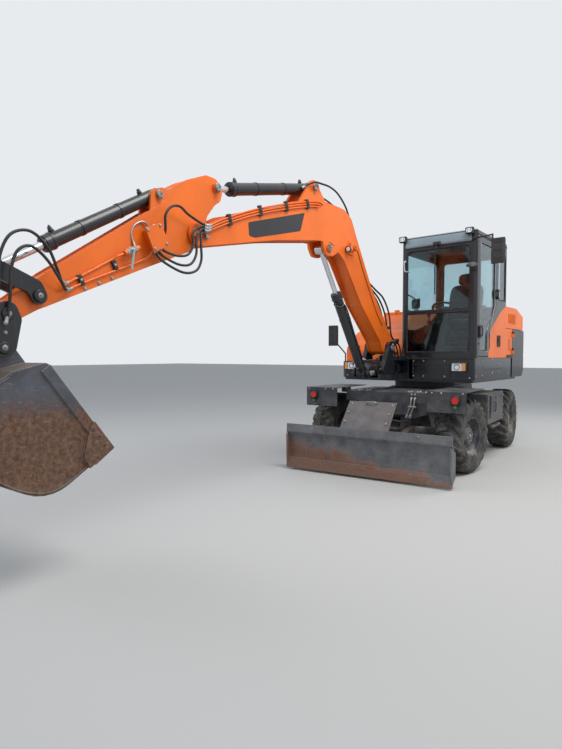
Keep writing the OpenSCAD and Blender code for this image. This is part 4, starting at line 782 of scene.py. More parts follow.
DOOR_FACE = HALF
left_panel = rounded([(0.222, 1.306), (0.222, 1.60), (-0.240, 1.884), (-0.470, 1.979), (-0.500, 1.979),
                      (-0.500, 1.684), (-0.794, 1.684), (-0.794, 1.306)], 0.05)
build("left_door_latch", put(upper, *side_latch(DOOR_FACE, -0.195, 1.515, 1)), black_plastic,
      "left_side_door")
build("left_door_seal", put(upper, strip(left_panel, 0.006, DOOR_FACE - 0.030, DOOR_FACE - 0.0235, "side")),
      seal_rubber, "left_side_door")
louvre_screen = [tube([(DOOR_FACE - 0.026, f, 1.395), (DOOR_FACE - 0.026, f, 1.560)], 0.0016, 5)
                 for f in np.arange(-0.775, -0.634, 0.010)]
hoods = []
for row in range(6):
    z = 1.410 + 0.026 * row + 0.011
    sweep = np.linspace(0, np.pi / 2, 6)
    outer = [(DOOR_FACE + 0.007 * np.sin(a), z + 0.004 - 0.013 * (1 - np.cos(a))) for a in sweep]
    inner = [(x - 0.0018, y - 0.0015) for x, y in outer][::-1]
    section = np.array(outer + inner)
    ends = [np.column_stack([section[:, 0], np.full(len(section), f), section[:, 1]])
            for f in (-0.775, -0.635)]
    hoods.append(grid(np.array(ends), loop_v=True, capped=True))
build("left_louvre_screen", put(upper, *louvre_screen), seal_rubber, "left_side_door")
build("left_louvre_hoods", put(upper, *hoods), orange_paint, "left_side_door")
build("right_door_latch", put(upper, *side_latch(-DOOR_FACE, -0.20, 1.50, -1)), black_plastic,
      "right_side_door")
right_hoods = []
for row in range(6):
    for f in (-0.45, -0.61, -0.77):
        z = 1.410 + 0.026 * row + 0.015
        right_hoods.append(bar((-DOOR_FACE - 0.006, f, z - 0.004), (-DOOR_FACE + 0.001, f + 0.12, z), 0.0015))
build("right_louvre_hoods", put(upper, *right_hoods), orange_paint, "right_side_door")
corner_piece = rounded([(-0.56, 1.34), (-0.79, 1.34), (-0.79, 1.305), (-0.52, 1.305)], 0.02)
build("left_corner_piece", put(upper, slab(corner_piece, DOOR_FACE + 0.0002, DOOR_FACE + 0.0042)),
      black_plastic, "left_side_door")
cover_latch = [lathe([(0.022, 0), (0.022, 0.004), (0.017, 0.007), (0.010, 0.0075)], (x, 0.6002, z), FRONT, 20)
               for x, z in ((-0.80, 1.36), (-0.14, 1.36))]
build("cover_locks", put(upper, *cover_latch), black_plastic, "upper")
fuel_neck = [lathe([(0.050, -0.004), (0.050, 0.010), (0.046, 0.014), (0.046, 0.030), (0.040, 0.036),
                    (0.012, 0.038)], (-0.55, 0.05, 1.706), unit((0, 0.20, 1.0)), 28)]
build("tank_cap", put(upper, *fuel_neck), black_plastic, "upper")


# Cab
# A frame of pressed and welded tube with a moulded roof and a door; the panes are bonded in with black rubber
# and a thin bright moulding, and a wiper, a grab handle, lamps and mirrors are bolted on.
dress(body_dark, "cab_frame", "cab_door", "cab_roof")
dress(black_plastic, "cab_floor", "work_lamps", "mirrors", "steering_column", "control_consoles")
window, window_tree, window_shader = new_material("window")
haze_at = add_node(window_tree, "ShaderNodeTexCoord").outputs["Object"]
smear = ramp(window_tree, noise(window_tree, haze_at, 3.5, 6.0), 0.42, 0.75, 0.015, 0.09)
feed(window_tree, window_shader,
     {"Base Color": (0.60, 0.76, 0.80, 1), "Transmission Weight": 1.0, "IOR": 1.45, "Roughness": smear})
dress(window, "cab_glass", "door_glass")
bright_trim = paint("bright_trim", (0.50, 0.51, 0.51), rough=0.30, dust=0.2, wear=0.2, metal=0.6)
mirror_glass = paint("mirror_glass", (0.80, 0.82, 0.84), rough=0.04, dust=0.08, wear=0.0, metal=1.0,
                     grain=0.0)
CAB_RIGHT, CAB_LEFT, CAB_FACE, CAB_BACK = -0.030, 0.930, 0.670, -0.500
front_low = box_outline((0.040, 1.365), (0.850, 1.856), 0.026, 5)
front_high = box_outline((0.040, 1.880), (0.850, 2.640), 0.060, 8)
rear_pane = box_outline((0.050, 1.950), (0.850, 2.640), 0.060, 8)
right_pane = box_outline((-0.420, 1.650), (0.590, 2.640), 0.060, 8)
corner_pane = box_outline((-0.440, 2.040), (-0.120, 2.640), 0.030, 6)
door_hole = rounded([(0.540, 1.380), (0.540, 2.682), (0.000, 2.682), (0.000, 1.960), (0.170, 1.600),
                     (0.170, 1.380)], 0.055, 7)
seals = [strip(outline, 0.015, CAB_FACE - 0.0098, CAB_FACE - 0.003, "front")
         for outline in (front_low, front_high)]
seals += [strip(rear_pane, 0.015, CAB_BACK + 0.0098, CAB_BACK + 0.003, "front"),
          strip(right_pane, 0.015, CAB_RIGHT + 0.0098, CAB_RIGHT + 0.003, "side"),
          strip(corner_pane, 0.015, CAB_LEFT - 0.0098, CAB_LEFT - 0.003, "side")]
build("window_seals", put(upper, *seals), seal_rubber, "upper")
mouldings = [strip(outline, 0.0045, CAB_FACE - 0.003, CAB_FACE + 0.0015, "front")
             for outline in (front_low, front_high)]
mouldings += [strip(right_pane, 0.0045, CAB_RIGHT + 0.003, CAB_RIGHT - 0.0015, "side"),
              strip(corner_pane, 0.0045, CAB_LEFT - 0.003, CAB_LEFT + 0.0015, "side"),
              strip(rear_pane, 0.0045, CAB_BACK + 0.003, CAB_BACK - 0.0015, "front")]
build("window_mouldings", put(upper, *mouldings), seal_rubber, "upper")
build("door_seal", put(upper, strip(door_hole, 0.015, CAB_LEFT - 0.0098, CAB_LEFT - 0.003, "side")),
      seal_rubber, "cab_door")
build("door_moulding", put(upper, strip(door_hole, 0.0045, CAB_LEFT - 0.003, CAB_LEFT + 0.0015, "side")),
      bright_trim, "cab_door")
door_edge = rounded([(0.600, 1.320), (0.600, 2.742), (-0.060, 2.742), (-0.060, 1.960), (0.230, 1.600),
                     (0.230, 1.320)], 0.05, 6)
build("door_edge_seal", put(upper, strip(door_edge, 0.006, CAB_LEFT - 0.043, CAB_LEFT - 0.0465, "side")),
      seal_rubber, "cab_door")
handle_parts = [strip(box_outline((0.528, 1.520), (0.612, 1.700), 0.016), 0.006, CAB_LEFT - 0.001,
                      CAB_LEFT + 0.003, "side")]
handle_parts += [tube(curve([(CAB_LEFT + 0.021, 0.560, 1.560), (CAB_LEFT + 0.034, 0.562, 1.572),
                             (CAB_LEFT + 0.036, 0.564, 1.620), (CAB_LEFT + 0.034, 0.562, 1.668),
                             (CAB_LEFT + 0.021, 0.560, 1.680)], 18), 0.008, 10)]
handle_parts += [lathe([(0.013, 0), (0.013, 0.004), (0.008, 0.006)], (CAB_LEFT + 0.0002, 0.575, 1.470),
                       LEFT, 20)]
inner_bar = curve([(CAB_LEFT - 0.046, 0.572, 2.10), (CAB_LEFT - 0.085, 0.562, 2.09),
                   (CAB_LEFT - 0.088, 0.55, 1.90), (CAB_LEFT - 0.088, 0.50, 1.62),
                   (CAB_LEFT - 0.085, 0.40, 1.50), (CAB_LEFT - 0.046, 0.39, 1.49)], 30)
handle_parts.append(tube(inner_bar, 0.011, 10))
build("door_handles", put(upper, *handle_parts), black_plastic, "cab_door")
grip = curve([(0.018, CAB_FACE - 0.002, 2.520), (0.018, CAB_FACE + 0.030, 2.515),
              (0.020, CAB_FACE + 0.034, 2.45), (0.030, CAB_FACE + 0.034, 2.395),
              (0.062, CAB_FACE + 0.026, 2.385), (0.066, CAB_FACE - 0.008, 2.385)], 30)
grip_feet = [lathe([(0.014, 0), (0.014, 0.004), (0.009, 0.006)], (0.018, CAB_FACE + 0.0002, 2.520), FRONT,
                   16)]
build("window_grip", put(upper, tube(grip, 0.007, 10), *grip_feet), bright_trim, "upper")
fittings = []
wiper_foot = np.array((0.445, CAB_FACE, 2.700))
fittings += [slab(box_outline((CAB_FACE + 0.0003, 2.672), (CAB_FACE + 0.030, 2.722), 0.010), 0.395, 0.495,
                  0.004)]
fittings += [lathe([(0.014, 0), (0.014, 0.008), (0.010, 0.012)], wiper_foot + (0, 0.030, 0), FRONT, 16)]
wiper_arm = curve([wiper_foot + (0, 0.034, 0), wiper_foot + (-0.012, 0.034, -0.15),
                   wiper_foot + (-0.03, 0.022, -0.36)], 16)
fittings += [tube(wiper_arm, np.linspace(0.0065, 0.0035, 16), 8)]
blade_way = [wiper_foot + (-0.03, 0.008, -0.09), wiper_foot + (-0.03, 0.012, -0.36),
             wiper_foot + (-0.03, 0.008, -0.62)]
fittings += [tube(curve(blade_way, 20), 0.0055, 6)]
fittings += [bar(wiper_foot + (-0.033, -0.0095, -0.62), wiper_foot + (-0.027, 0.007, -0.09), 0.001)]
visor_tint = paint("visor_tint", (0.16, 0.22, 0.25), rough=0.12, dust=0.15, wear=0.0, coat=1.0, grain=0.3)
visor_line = curve([(CAB_FACE + 0.0005, 2.668), (CAB_FACE + 0.024, 2.684), (CAB_FACE + 0.020, 2.735),
                    (CAB_FACE + 0.002, 2.790), (CAB_FACE - 0.035, 2.822)], 14)
visor_inner = visor_line - np.array((0.004, 0.0015))
visor_section = np.concatenate([visor_line, visor_inner[::-1]])
visor_x = np.concatenate([[0.030], np.linspace(0.034, 0.866, 12), [0.870]])
visor = np.stack([np.column_stack([np.full(len(visor_section), x), visor_section]) for x in visor_x])
build("rain_visor", put(upper, grid(visor, loop_v=True, capped=True)), visor_tint, "upper")
gutter = [tube(curve([(CAB_LEFT + 0.0015, f, z) for f, z in ((0.655, 2.758), (0.30, 2.765), (-0.30, 2.765),
                                                             (-0.46, 2.758))], 20), 0.006, 8)]
build("cab_fittings", put(upper, *fittings, *gutter), black_plastic, "upper")
mirror_face, mirror_body = [], []
for x0, x1, z0, z1 in ((1.120, 1.270, 2.370, 2.650), (-1.080, -0.940, 1.460, 1.740)):
    across = np.linspace(-1, 1, 15)
    wide, tall = np.meshgrid(across, across, indexing="ij")
    bulge = 0.0045 * (1 - 0.5 * (wide ** 2 + tall ** 2))
    surface = np.stack([(x0 + x1) / 2 + wide * ((x1 - x0) / 2 - 0.012), 0.7450 - bulge,
                        (z0 + z1) / 2 + tall * ((z1 - z0) / 2 - 0.012)], -1)
    closed = np.concatenate([surface, surface[::-1] * (1, 0, 1) + (0, 0.7455, 0)])
    mirror_face.append(grid(closed, loop_u=True))
    mirror_body.append(strip(box_outline((x0 + 0.002, z0 + 0.002), (x1 - 0.002, z1 - 0.002), 0.018), 0.012,
                             0.746, 0.7395, "front"))
    mirror_body += [bar((x0 + 0.03, 0.7895, z0 + d), (x1 - 0.03, 0.793, z0 + d + 0.006))
                    for d in (0.05, 0.14, 0.23)]
build("mirror_faces", put(upper, *mirror_face), mirror_glass,
      "upper")
round_at = np.array((0.895, 0.745, 2.375))
round_way = unit((0.10, 0.45, 0.90))
dish = [(0.062, 0.0), (0.067, 0.006), (0.062, 0.016), (0.040, 0.030), (0.012, 0.036)]
mirror_body += [lathe(dish, round_at, round_way, 32),
                tube(curve([(0.900, CAB_FACE + 0.0005, 2.330), (0.900, 0.700, 2.345),
                            (0.897, 0.735, 2.378)], 12), 0.007, 8)]
build("mirror_rims", put(upper, *mirror_body), black_plastic, "upper")
round_glass = [lathe([(0.058, 0.0), (0.040, -0.005), (0.012, -0.008)], round_at, round_way, 32)]
build("round_mirror_face", put(upper, *round_glass), mirror_glass, "upper")
lamp_lenses, lamp_rims = [], []
for x in (0.855, 0.010):
    outline = box_outline((x - 0.044, 2.756), (x + 0.044, 2.824), 0.011)
    lamp_rims.append(strip(outline, 0.009, 0.7445, 0.751, "front"))
    lamp_rims += [bar((x - 0.040, 0.688, z), (x + 0.040, 0.6795, z + 0.004))
                  for z in np.arange(2.762, 2.818, 0.010)]
    lens = box_outline((x - 0.036, 2.764), (x + 0.036, 2.816), 0.010)
    lamp_lenses.append(strip(lens, 0.0255, 0.7448, 0.7475, "front"))
build("work_lamp_lenses", put(upper, *lamp_lenses), lens_white, "upper")
build("work_lamp_rims", put(upper, *lamp_rims), black_plastic, "upper")


# Operator's place
# A suspension seat with a pressed-in back and side bolsters, stitched cloth over foam, on a bellows; armrests
# with levers, a dished steering wheel, pedals, a display on the right pillar and a ribbed mat.
def cushion(half_width, half_length, lift, drop, bolster=0.0, grooves=(), square=5.0, rings=26, around=88):
    """A stuffed pad: rings shrink a superellipse outline to its middle while the upper side rises by
    lift * sqrt(1 - s^6) and the lower falls by drop, bolster raises the two long edges, and each groove
    (across, position, depth) is a stitched channel pressed in as a narrow bell curve."""
    turn = np.linspace(0, 2 * np.pi, around, endpoint=False)
    edge = np.stack([np.sign(np.cos(turn)) * np.abs(np.cos(turn)) ** (2 / square) * half_width,
                     np.sign(np.sin(turn)) * np.abs(np.sin(turn)) ** (2 / square) * half_length], -1)
    share = np.sin(np.linspace(0.02, np.pi / 2, rings))
    flat = share[:, None, None] * edge[None]
    dome = np.sqrt(np.maximum(0, 1 - share ** 6))[:, None]
    fade = (1 - share ** 14)[:, None]
    top = lift * dome + bolster * (np.abs(flat[..., 0]) / half_width) ** 4 * fade
    for across, position, depth in grooves:
        distance = flat[..., 1 if across else 0] - position
        inside = np.clip(1.25 - np.abs(flat[..., 0]) / (0.72 * half_width), 0, 1) if across else 1.0
        top = top - depth * np.exp(-(distance / 0.007) ** 2) * fade * inside
    low = -drop * dome * np.ones(around)
    upper_side = np.concatenate([flat, top[..., None]], -1)
    lower_side = np.concatenate([flat, low[..., None]], -1)[::-1][1:]
    return grid(np.concatenate([upper_side, lower_side]), loop_v=True, capped=True)


seat_cloth, cloth_tree, cloth_shader = new_material("seat_cloth")
cloth_at = add_node(cloth_tree, "ShaderNodeTexCoord").outputs["Object"]
warp, weft = (add_node(cloth_tree, "ShaderNodeTexWave",
                       {"Vector": cloth_at, "Scale": 190.0, "Distortion": 0.6, "Detail": 1.0},
                       bands_direction=axis).outputs["Fac"] for axis in ("X", "Z"))
weave = maths(cloth_tree, "MULTIPLY", warp, weft)
worn_share = ramp(cloth_tree, noise(cloth_tree, cloth_at, 9.0, 6.0), 0.35, 0.7)
cloth_tone = mixed(cloth_tree, worn_share, (0.020, 0.021, 0.024, 1), (0.045, 0.045, 0.047, 1))
cloth_bump = add_node(cloth_tree, "ShaderNodeBump", {"Strength": 0.4, "Distance": 0.001, "Height": weave})
feed(cloth_tree, cloth_shader, {"Base Color": mixed(cloth_tree, weave, cloth_tone, (0.075, 0.076, 0.080, 1)),
                                "Normal": cloth_bump.outputs[0], "Roughness": 0.9, "Sheen Weight": 0.35})
SEAT_X = 0.460
bench = tilted(upper, (SEAT_X, -0.028, 1.735), 4)
seat_grooves = [(True, y, 0.008) for y in (-0.13, -0.06, 0.01, 0.08)]
seat_grooves += [(False, x, 0.010) for x in (-0.150, 0.150)]
seat_pad = build("seat_cushion", put(bench, cushion(0.235, 0.232, 0.062, 0.044, 0.026, seat_grooves)),
                 seat_cloth, "upper")
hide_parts("operator_seat")
lean = tilted(upper, (SEAT_X, -0.262, 2.040), 103)
recline = placing(lean[0], -lean[1][0], lean[1][1])
back_grooves = [(True, y, 0.008) for y in (-0.17, -0.09, -0.01, 0.07, 0.15)]
back_grooves += [(False, x, 0.010) for x in (-0.14, 0.14)]
back_pad = build("seat_back", put(recline, cushion(0.225, 0.262, 0.052, 0.040, 0.024, back_grooves)),
                 seat_cloth, "upper")
rest_at = tilted(upper, (SEAT_X, -0.352, 2.372), 103)
rest_place = placing(rest_at[0], -rest_at[1][0], rest_at[1][1])
head_pad = build("head_rest", put(rest_place, cushion(0.130, 0.082, 0.036, 0.034, 0.0, [(True, -0.02, 0.006)],
                                                      square=3.6)), seat_cloth, "upper")


def bellows(x_half, f_half, z_low, z_high, centre, folds):
    """A rubber bellows: rounded rectangles stacked upwards, drawn in and let out once a fold."""
    levels = np.linspace(0, 1, 6 * folds + 1)
    outline = box_outline((-x_half, -f_half), (x_half, f_half), 0.05, 6)
    size = 1 - 0.07 * (0.5 + 0.5 * np.cos(levels * folds * 2 * np.pi))
    height = z_low + (z_high - z_low) * levels
    rings = np.concatenate([outline[None] * size[:, None, None],
                            np.broadcast_to(height[:, None, None], (len(levels), len(outline), 1))], -1)
    return grid(rings + np.array((centre[0], centre[1], 0)), loop_v=True, capped=True)


seat_parts = [bellows(0.175, 0.165, 1.345, 1.560, (SEAT_X, -0.04), 4),
              slab(box_outline((-0.240, 1.335), (0.130, 1.350), 0.006), SEAT_X - 0.20, SEAT_X + 0.20),
              slab(box_outline((-0.245, 1.560), (0.165, 1.645), 0.020), SEAT_X - 0.205, SEAT_X + 0.205,
                   0.006), slab(box_outline((-0.225, 1.645), (0.150, 1.690), 0.015), SEAT_X - 0.185,
                                SEAT_X + 0.185, 0.005)]
seat_parts += [tube([(SEAT_X + e, -0.328, 2.27), (SEAT_X + e, -0.352, 2.36)], 0.006, 8)
               for e in (-0.05, 0.05)]
shell = tilted(upper, (SEAT_X, -0.300, 2.020), 103)
seat_shell = cushion(0.205, 0.235, 0.020, 0.018, square=5.0)
lever_parts = []
for side in (-1, 1):
    x = SEAT_X + side * 0.315
    for k in range(5):
        lever_parts.append(lathe([(0.034 - 0.004 * k, 0), (0.036 - 0.004 * k, 0.005),
                                  (0.030 - 0.004 * k, 0.010)], (x, 0.204 + 0.001 * k, 1.752 + 0.010 * k),
                                 unit((0, 0.08, 1)), 20))
    lever_parts += [lathe([(0.0075, 0), (0.0075, 0.004), (0.006, 0.006)],
                          (x + dx, 0.216 + dz * 0.1, 1.905 + dz), (0, 1, 0.1), 12) for dx in (-0.008, 0.008)
                    for dz in (0.0, 0.018)]
    lever_parts += [bar((x - 0.012, 0.10 - 0.03 * k, 1.746), (x + 0.012, 0.12 - 0.03 * k, 1.7535), 0.002)
                    for k in range(3)]
build("levers_and_switches", put(upper, *lever_parts), seal_rubber, "upper")
build("seat_mounting", put(upper, *seat_parts) + put(shell, seat_shell), black_plastic, "upper")
for side, name in ((-1, "right_armrest"), (1, "left_armrest")):
    arm_at = tilted(upper, (SEAT_X + side * 0.315, -0.080, 1.762), 0)
    arm_pad = build(name, put(arm_at, cushion(0.050, 0.125, 0.026, 0.016, 0.0, [(True, 0.0, 0.003)],
                                              square=4.0)), seat_cloth, "upper")
ribs = [bar((0.10, f, 1.3402), (0.85, f + 0.008, 1.3440), 0.001) for f in np.arange(0.22, 0.60, 0.022)]
pedal_pads = [bar((SEAT_X + s * 0.100 - 0.036, 0.585 - 0.002 * k, 1.365 + 0.016 * k),
                  (SEAT_X + s * 0.100 + 0.036, 0.5765 - 0.0025 * k, 1.371 + 0.016 * k), 0.001)
              for s in (-1, 1) for k in range(5)]
build("mat_ribs", put(upper, *ribs, *pedal_pads), seal_rubber, "upper")
screen_at = placing((0.075, 0.470, 2.000), unit((0.80, 0.60, 0)), unit((-0.60, 0.80, 0)))
display = [slab(box_outline((-0.016, -0.060), (0.016, 0.060), 0.010), -0.085, 0.085, 0.004)]
display += [tube([(0, 0.01, -0.055), (-0.03, 0.06, -0.10), (-0.062, 0.115, -0.13)], 0.010, 8)]
build("display_case", put(upper, *put(screen_at, *display)), black_plastic, "upper")
display_glass = paint("display_glass", (0.012, 0.018, 0.020), rough=0.06, dust=0.1, wear=0.0, coat=1.0,
                      grain=0.0)
pane = slab(box_outline((-0.0175, -0.044), (-0.0162, 0.048), 0.0004), -0.070, 0.070, 0.0004)
build("display_glass", put(upper, *put(screen_at, pane)), display_glass, "upper")
liner = [slab(box_outline((-0.42, 2.742), (0.58, 2.756), 0.004), 0.06, 0.84, 0.002)]
build("roof_liner", put(upper, *liner), seat_cloth, "upper")


# Swing post and boom
# Box girders welded from thick plate: the side plates stand proud of the weld seams, each pin is held by a
# bolted keeper and fed by a grease nipple, and steel pipes run along the left side under bolted clamps.
dress(cast_dark, "swing_post", "rocker_links", "bucket_link", "quick_coupler")
ram_paint = paint("ram_paint", (0.011, 0.012, 0.016), rough=0.30, dust=0.10, wear=0.25, coat=0.3, low=0.5)
chrome = paint("chrome", (0.70, 0.71, 0.73), rough=0.10, dust=0.05, wear=0.0, metal=1.0, grain=0.2)
dress(ram_paint, "swing_barrel", "boom_barrel", "arm_barrel", "bucket_barrel", "blade_barrel")
dress(chrome, "swing_rod", "boom_rod", "arm_rod", "bucket_rod", "blade_rod")
POST_X, POST_F, FOOT, BOOM_L, ARM_L = -0.106, 0.950, (0.145, 1.420), 3.238, 1.600
BOOM_TILT, ARM_TILT = 15, -41
BOOM_RAM_BASE, BOOM_RAM_EYE = (0.560, 1.120), (1.514, 0.642)
ARM_RAM_BASE, ARM_RAM_EYE = (1.899, 1.120), (-0.402, 0.263)
BUCKET_RAM_BASE, BUCKET_RAM_EYE = (0.188, 0.350), (1.583, 0.244)
post = tilted(upper, (POST_X, POST_F, 0), 0)
boom = tilted(post, (0, *FOOT), BOOM_TILT)
arm = tilted(boom, (0, BOOM_L, 0), ARM_TILT)
BOOM_SIDE, ARM_SIDE = 0.100, 0.075


def pin_end(f, u, x, side, radius, plate, turn):
    """A pin's end on one side: a chamfered collar, a grease nipple and a bolted keeper plate, as long as
    plate and tipped up by turn degrees."""
    out = (side, 0, 0)
    way = np.array((0, np.cos(np.radians(turn)), np.sin(np.radians(turn))))
    shapes = [lathe([(radius, -0.004), (radius, 0.010), (radius - 0.004, 0.014)], (x, f, u), out, 32)]
    ends = np.array((x + side * 0.014, f, u)) + np.outer((0, plate), way)
    width = 0.018 * np.array((-way[2], way[1]))
    corners = [ends[0][1:] - width, ends[1][1:] - width, ends[1][1:] + width, ends[0][1:] + width]
    shapes.append(slab(rounded(corners, 0.014), ends[0][0], ends[0][0] + side * 0.008))
    shapes += bolts([ends[1] - way * 0.016 + (side * 0.008, 0, 0)], out, 0.0085)
    shapes.append(lathe([(0.0055, 0.0), (0.0055, 0.010), (0.0035, 0.013), (0.0035, 0.016)],
                        ends[0] + (side * 0.006, 0, 0), out, 10))
    return shapes


pin_steel = paint("pin_steel", (0.30, 0.30, 0.30), rough=0.4, dust=0.35, wear=0.3, metal=0.6,
                  worn=(0.26, 0.15, 0.08))
post_pins, boom_pins, arm_pins = [], [], []
for side in (-1, 1):
    post_pins += pin_end(*FOOT, side * 0.170, side, 0.036, 0.058, 60)
    post_pins += pin_end(*BOOM_RAM_BASE, side * 0.112, side, 0.030, 0.045, 150)
    boom_pins += pin_end(*BOOM_RAM_EYE, side * 0.1155, side, 0.036, 0.052, 40)
    boom_pins += pin_end(*ARM_RAM_BASE, side * 0.1105, side, 0.034, 0.050, -80)
    arm_pins += pin_end(*ARM_RAM_EYE, side * 0.0955, side, 0.032, 0.046, -60)
    arm_pins += pin_end(*BUCKET_RAM_BASE, side * 0.0755, side, 0.028, 0.040, -70)
pivot_caps = [lathe([(0.040, -0.002), (0.040, 0.006), (0.034, 0.010), (0.012, 0.010), (0.008, 0.018)],
                    (side * 0.1156, BOOM_L, 0.0), (side, 0, 0), 32) for side in (-1, 1)]
build("arm_pivot_caps", put(boom, *pivot_caps), orange_paint, "boom")
build("post_pin_keepers", put(post, *post_pins), pin_steel, "swing_post")
build("boom_pin_keepers", put(boom, *boom_pins), pin_steel, "boom")
build("arm_pin_keepers", put(arm, *arm_pins), pin_steel, "arm")
post_details = [lathe([(0.074, 0), (0.078, 0.006), (0.078, 0.014), (0.066, 0.018)], (0, 0, 1.318), UP, 36),
                lathe([(0.008, 0), (0.008, 0.012), (0.005, 0.016), (0.005, 0.022)], (0, 0, 1.330), UP, 12)]
post_details += bolts([(0.045 * np.sin(a), 0.045 * np.cos(a), 1.3355) for a in np.radians((60, 180, 300))],
                      UP, 0.008)
build("post_cap", put(post, *post_details), pin_steel, "swing_post")
# Weld beads lie in the corner where the boom's top and bottom plates meet the side plates
top_line = curve([(-0.04, 0.165), (0.217, 0.332), (0.587, 0.586), (1.046, 0.998), (1.155, 1.100)], 40)
top_line_b = curve([(1.40, 1.150), (1.825, 1.020), (2.30, 0.735), (2.70, 0.460)], 34)
low_line = curve([(0.26, 0.052), (0.744, 0.311), (1.197, 0.640)], 30)
low_line_b = curve([(1.74, 0.625), (2.343, 0.352), (2.80, 0.130)], 26)
boom_welds = [weld([(s * (BOOM_SIDE - 0.0160), f, u) for f, u in line], 0.0042)
              for s in (-1, 1) for line in (top_line, top_line_b, low_line, low_line_b)]
build("boom_welds", put(boom, *boom_welds), orange_paint, "boom")
# A bare dark foil lies on each side of the boom's upper half
foil = paint("decal_foil", (0.022, 0.024, 0.030), rough=0.30, dust=0.12, wear=0.1, grain=0.3)
panel = rounded([(2.707, 0.352), (1.985, 0.800), (2.004, 0.600), (2.592, 0.262), (2.667, 0.246)], 0.015)
foils = [slab(panel, side * (BOOM_SIDE + 0.0001), side * (BOOM_SIDE + 0.0009), 0.0003) for side in (-1, 1)]
build("boom_panels", put(boom, *foils), foil, "boom")
pipe_steel = paint("pipe_steel", (0.42, 0.42, 0.41), rough=0.32, dust=0.25, wear=0.2, metal=0.8)
pipe_shapes, pipe_orange, clamps = [], [], []
for k in range(3):
    drop = 0.026 * k
    x = BOOM_SIDE + 0.0105
    route = [(x - 0.006, 1.73 + 0.03 * k, 1.020 - drop), (x + 0.004, 1.815, 0.998 - drop),
             (x, 1.930, 0.945 - drop), (x, 2.300, 0.727 - drop), (x, 2.620, 0.520 - drop),
             (x, 2.850, 0.352 - drop), (x + 0.004, 3.020, 0.215 - drop),
             (x + 0.010, 3.115, 0.130 - 0.9 * drop)]
    pipe_orange.append(tube(curve(route, 60), 0.0078, 10))
    pipe_shapes.append(lathe([(0.0125, 0), (0.0125, 0.026), (0.0105, 0.030), (0.0105, 0.044)], route[-1],
                             unit(np.subtract(route[-1], route[-2])), 6))
for f, u in ((1.980, 0.890), (2.276, 0.716), (2.600, 0.508), (2.930, 0.262)):
    spot = tilted(boom, (0, f, u), -31)
    clamps += put(spot, slab(box_outline((-0.022, -0.045), (0.022, 0.048), 0.006), BOOM_SIDE - 0.0005,
                             BOOM_SIDE + 0.021, 0.003))
    clamps += put(spot, *bolts([(BOOM_SIDE + 0.021, 0, 0.0015)], LEFT, 0.008))
build("boom_pipes", put(boom, *pipe_orange), orange_paint, "boom")
build("boom_pipe_fittings", put(boom, *pipe_shapes), pipe_steel, "boom")
build("boom_pipe_clamps", clamps, black_plastic, "boom")
# Boom lamp: a glass in a rim on the lamp that the bracket holds, and its cable
lamp_face = np.array((BOOM_SIDE + 0.0403, 1.170, 0.770))
lens_way = np.array((0, np.cos(np.radians(-15)), np.sin(np.radians(-15))))
lens_centre = lamp_face + 0.046 * lens_way
glass_bits = [lathe([(0.029, 0.0), (0.024, 0.004), (0.010, 0.006)], lens_centre, lens_way, 28)]
rim_bits = [lathe([(0.029, -0.004), (0.0365, -0.004), (0.0365, 0.006), (0.033, 0.009), (0.029, 0.007)],
                  lens_centre, lens_way, 32, ring=True)]
rim_bits += bolts([(BOOM_SIDE + 0.0124, f, 0.845) for f in (1.085, 1.155)], LEFT, 0.009)
build("boom_lamp_lens", put(boom, *glass_bits), lens_white, "boom")
build("boom_lamp_rim", put(boom, *rim_bits), black_plastic, "boom")
cable = curve([(BOOM_SIDE + 0.040, 1.150, 0.800), (BOOM_SIDE + 0.03, 1.100, 0.835),
               (BOOM_SIDE + 0.010, 1.045, 0.860), (BOOM_SIDE + 0.004, 0.98, 0.850),
               (BOOM_SIDE + 0.004, 0.80, 0.680), (BOOM_SIDE + 0.004, 0.40, 0.345),
               (BOOM_SIDE + 0.004, 0.20, 0.220)], 60)
build("boom_lamp_wire", put(boom, tube(cable, 0.0036, 6)), seal_rubber, "boom")


def ram_frame(place, base, eye):
    """A cylinder's own frame: it starts at the base, and forward points to the eye."""
    return tilted(place, (0, *base), np.degrees(np.arctan2(eye[1] - base[1], eye[0] - base[0])))


def turned(point, degrees):
    """A (forward, up) point tipped up about the origin."""
    tip = np.radians(degrees)
    return np.array((point[0] * np.cos(tip) - point[1] * np.sin(tip),
                     point[0] * np.sin(tip) + point[1] * np.cos(tip)))


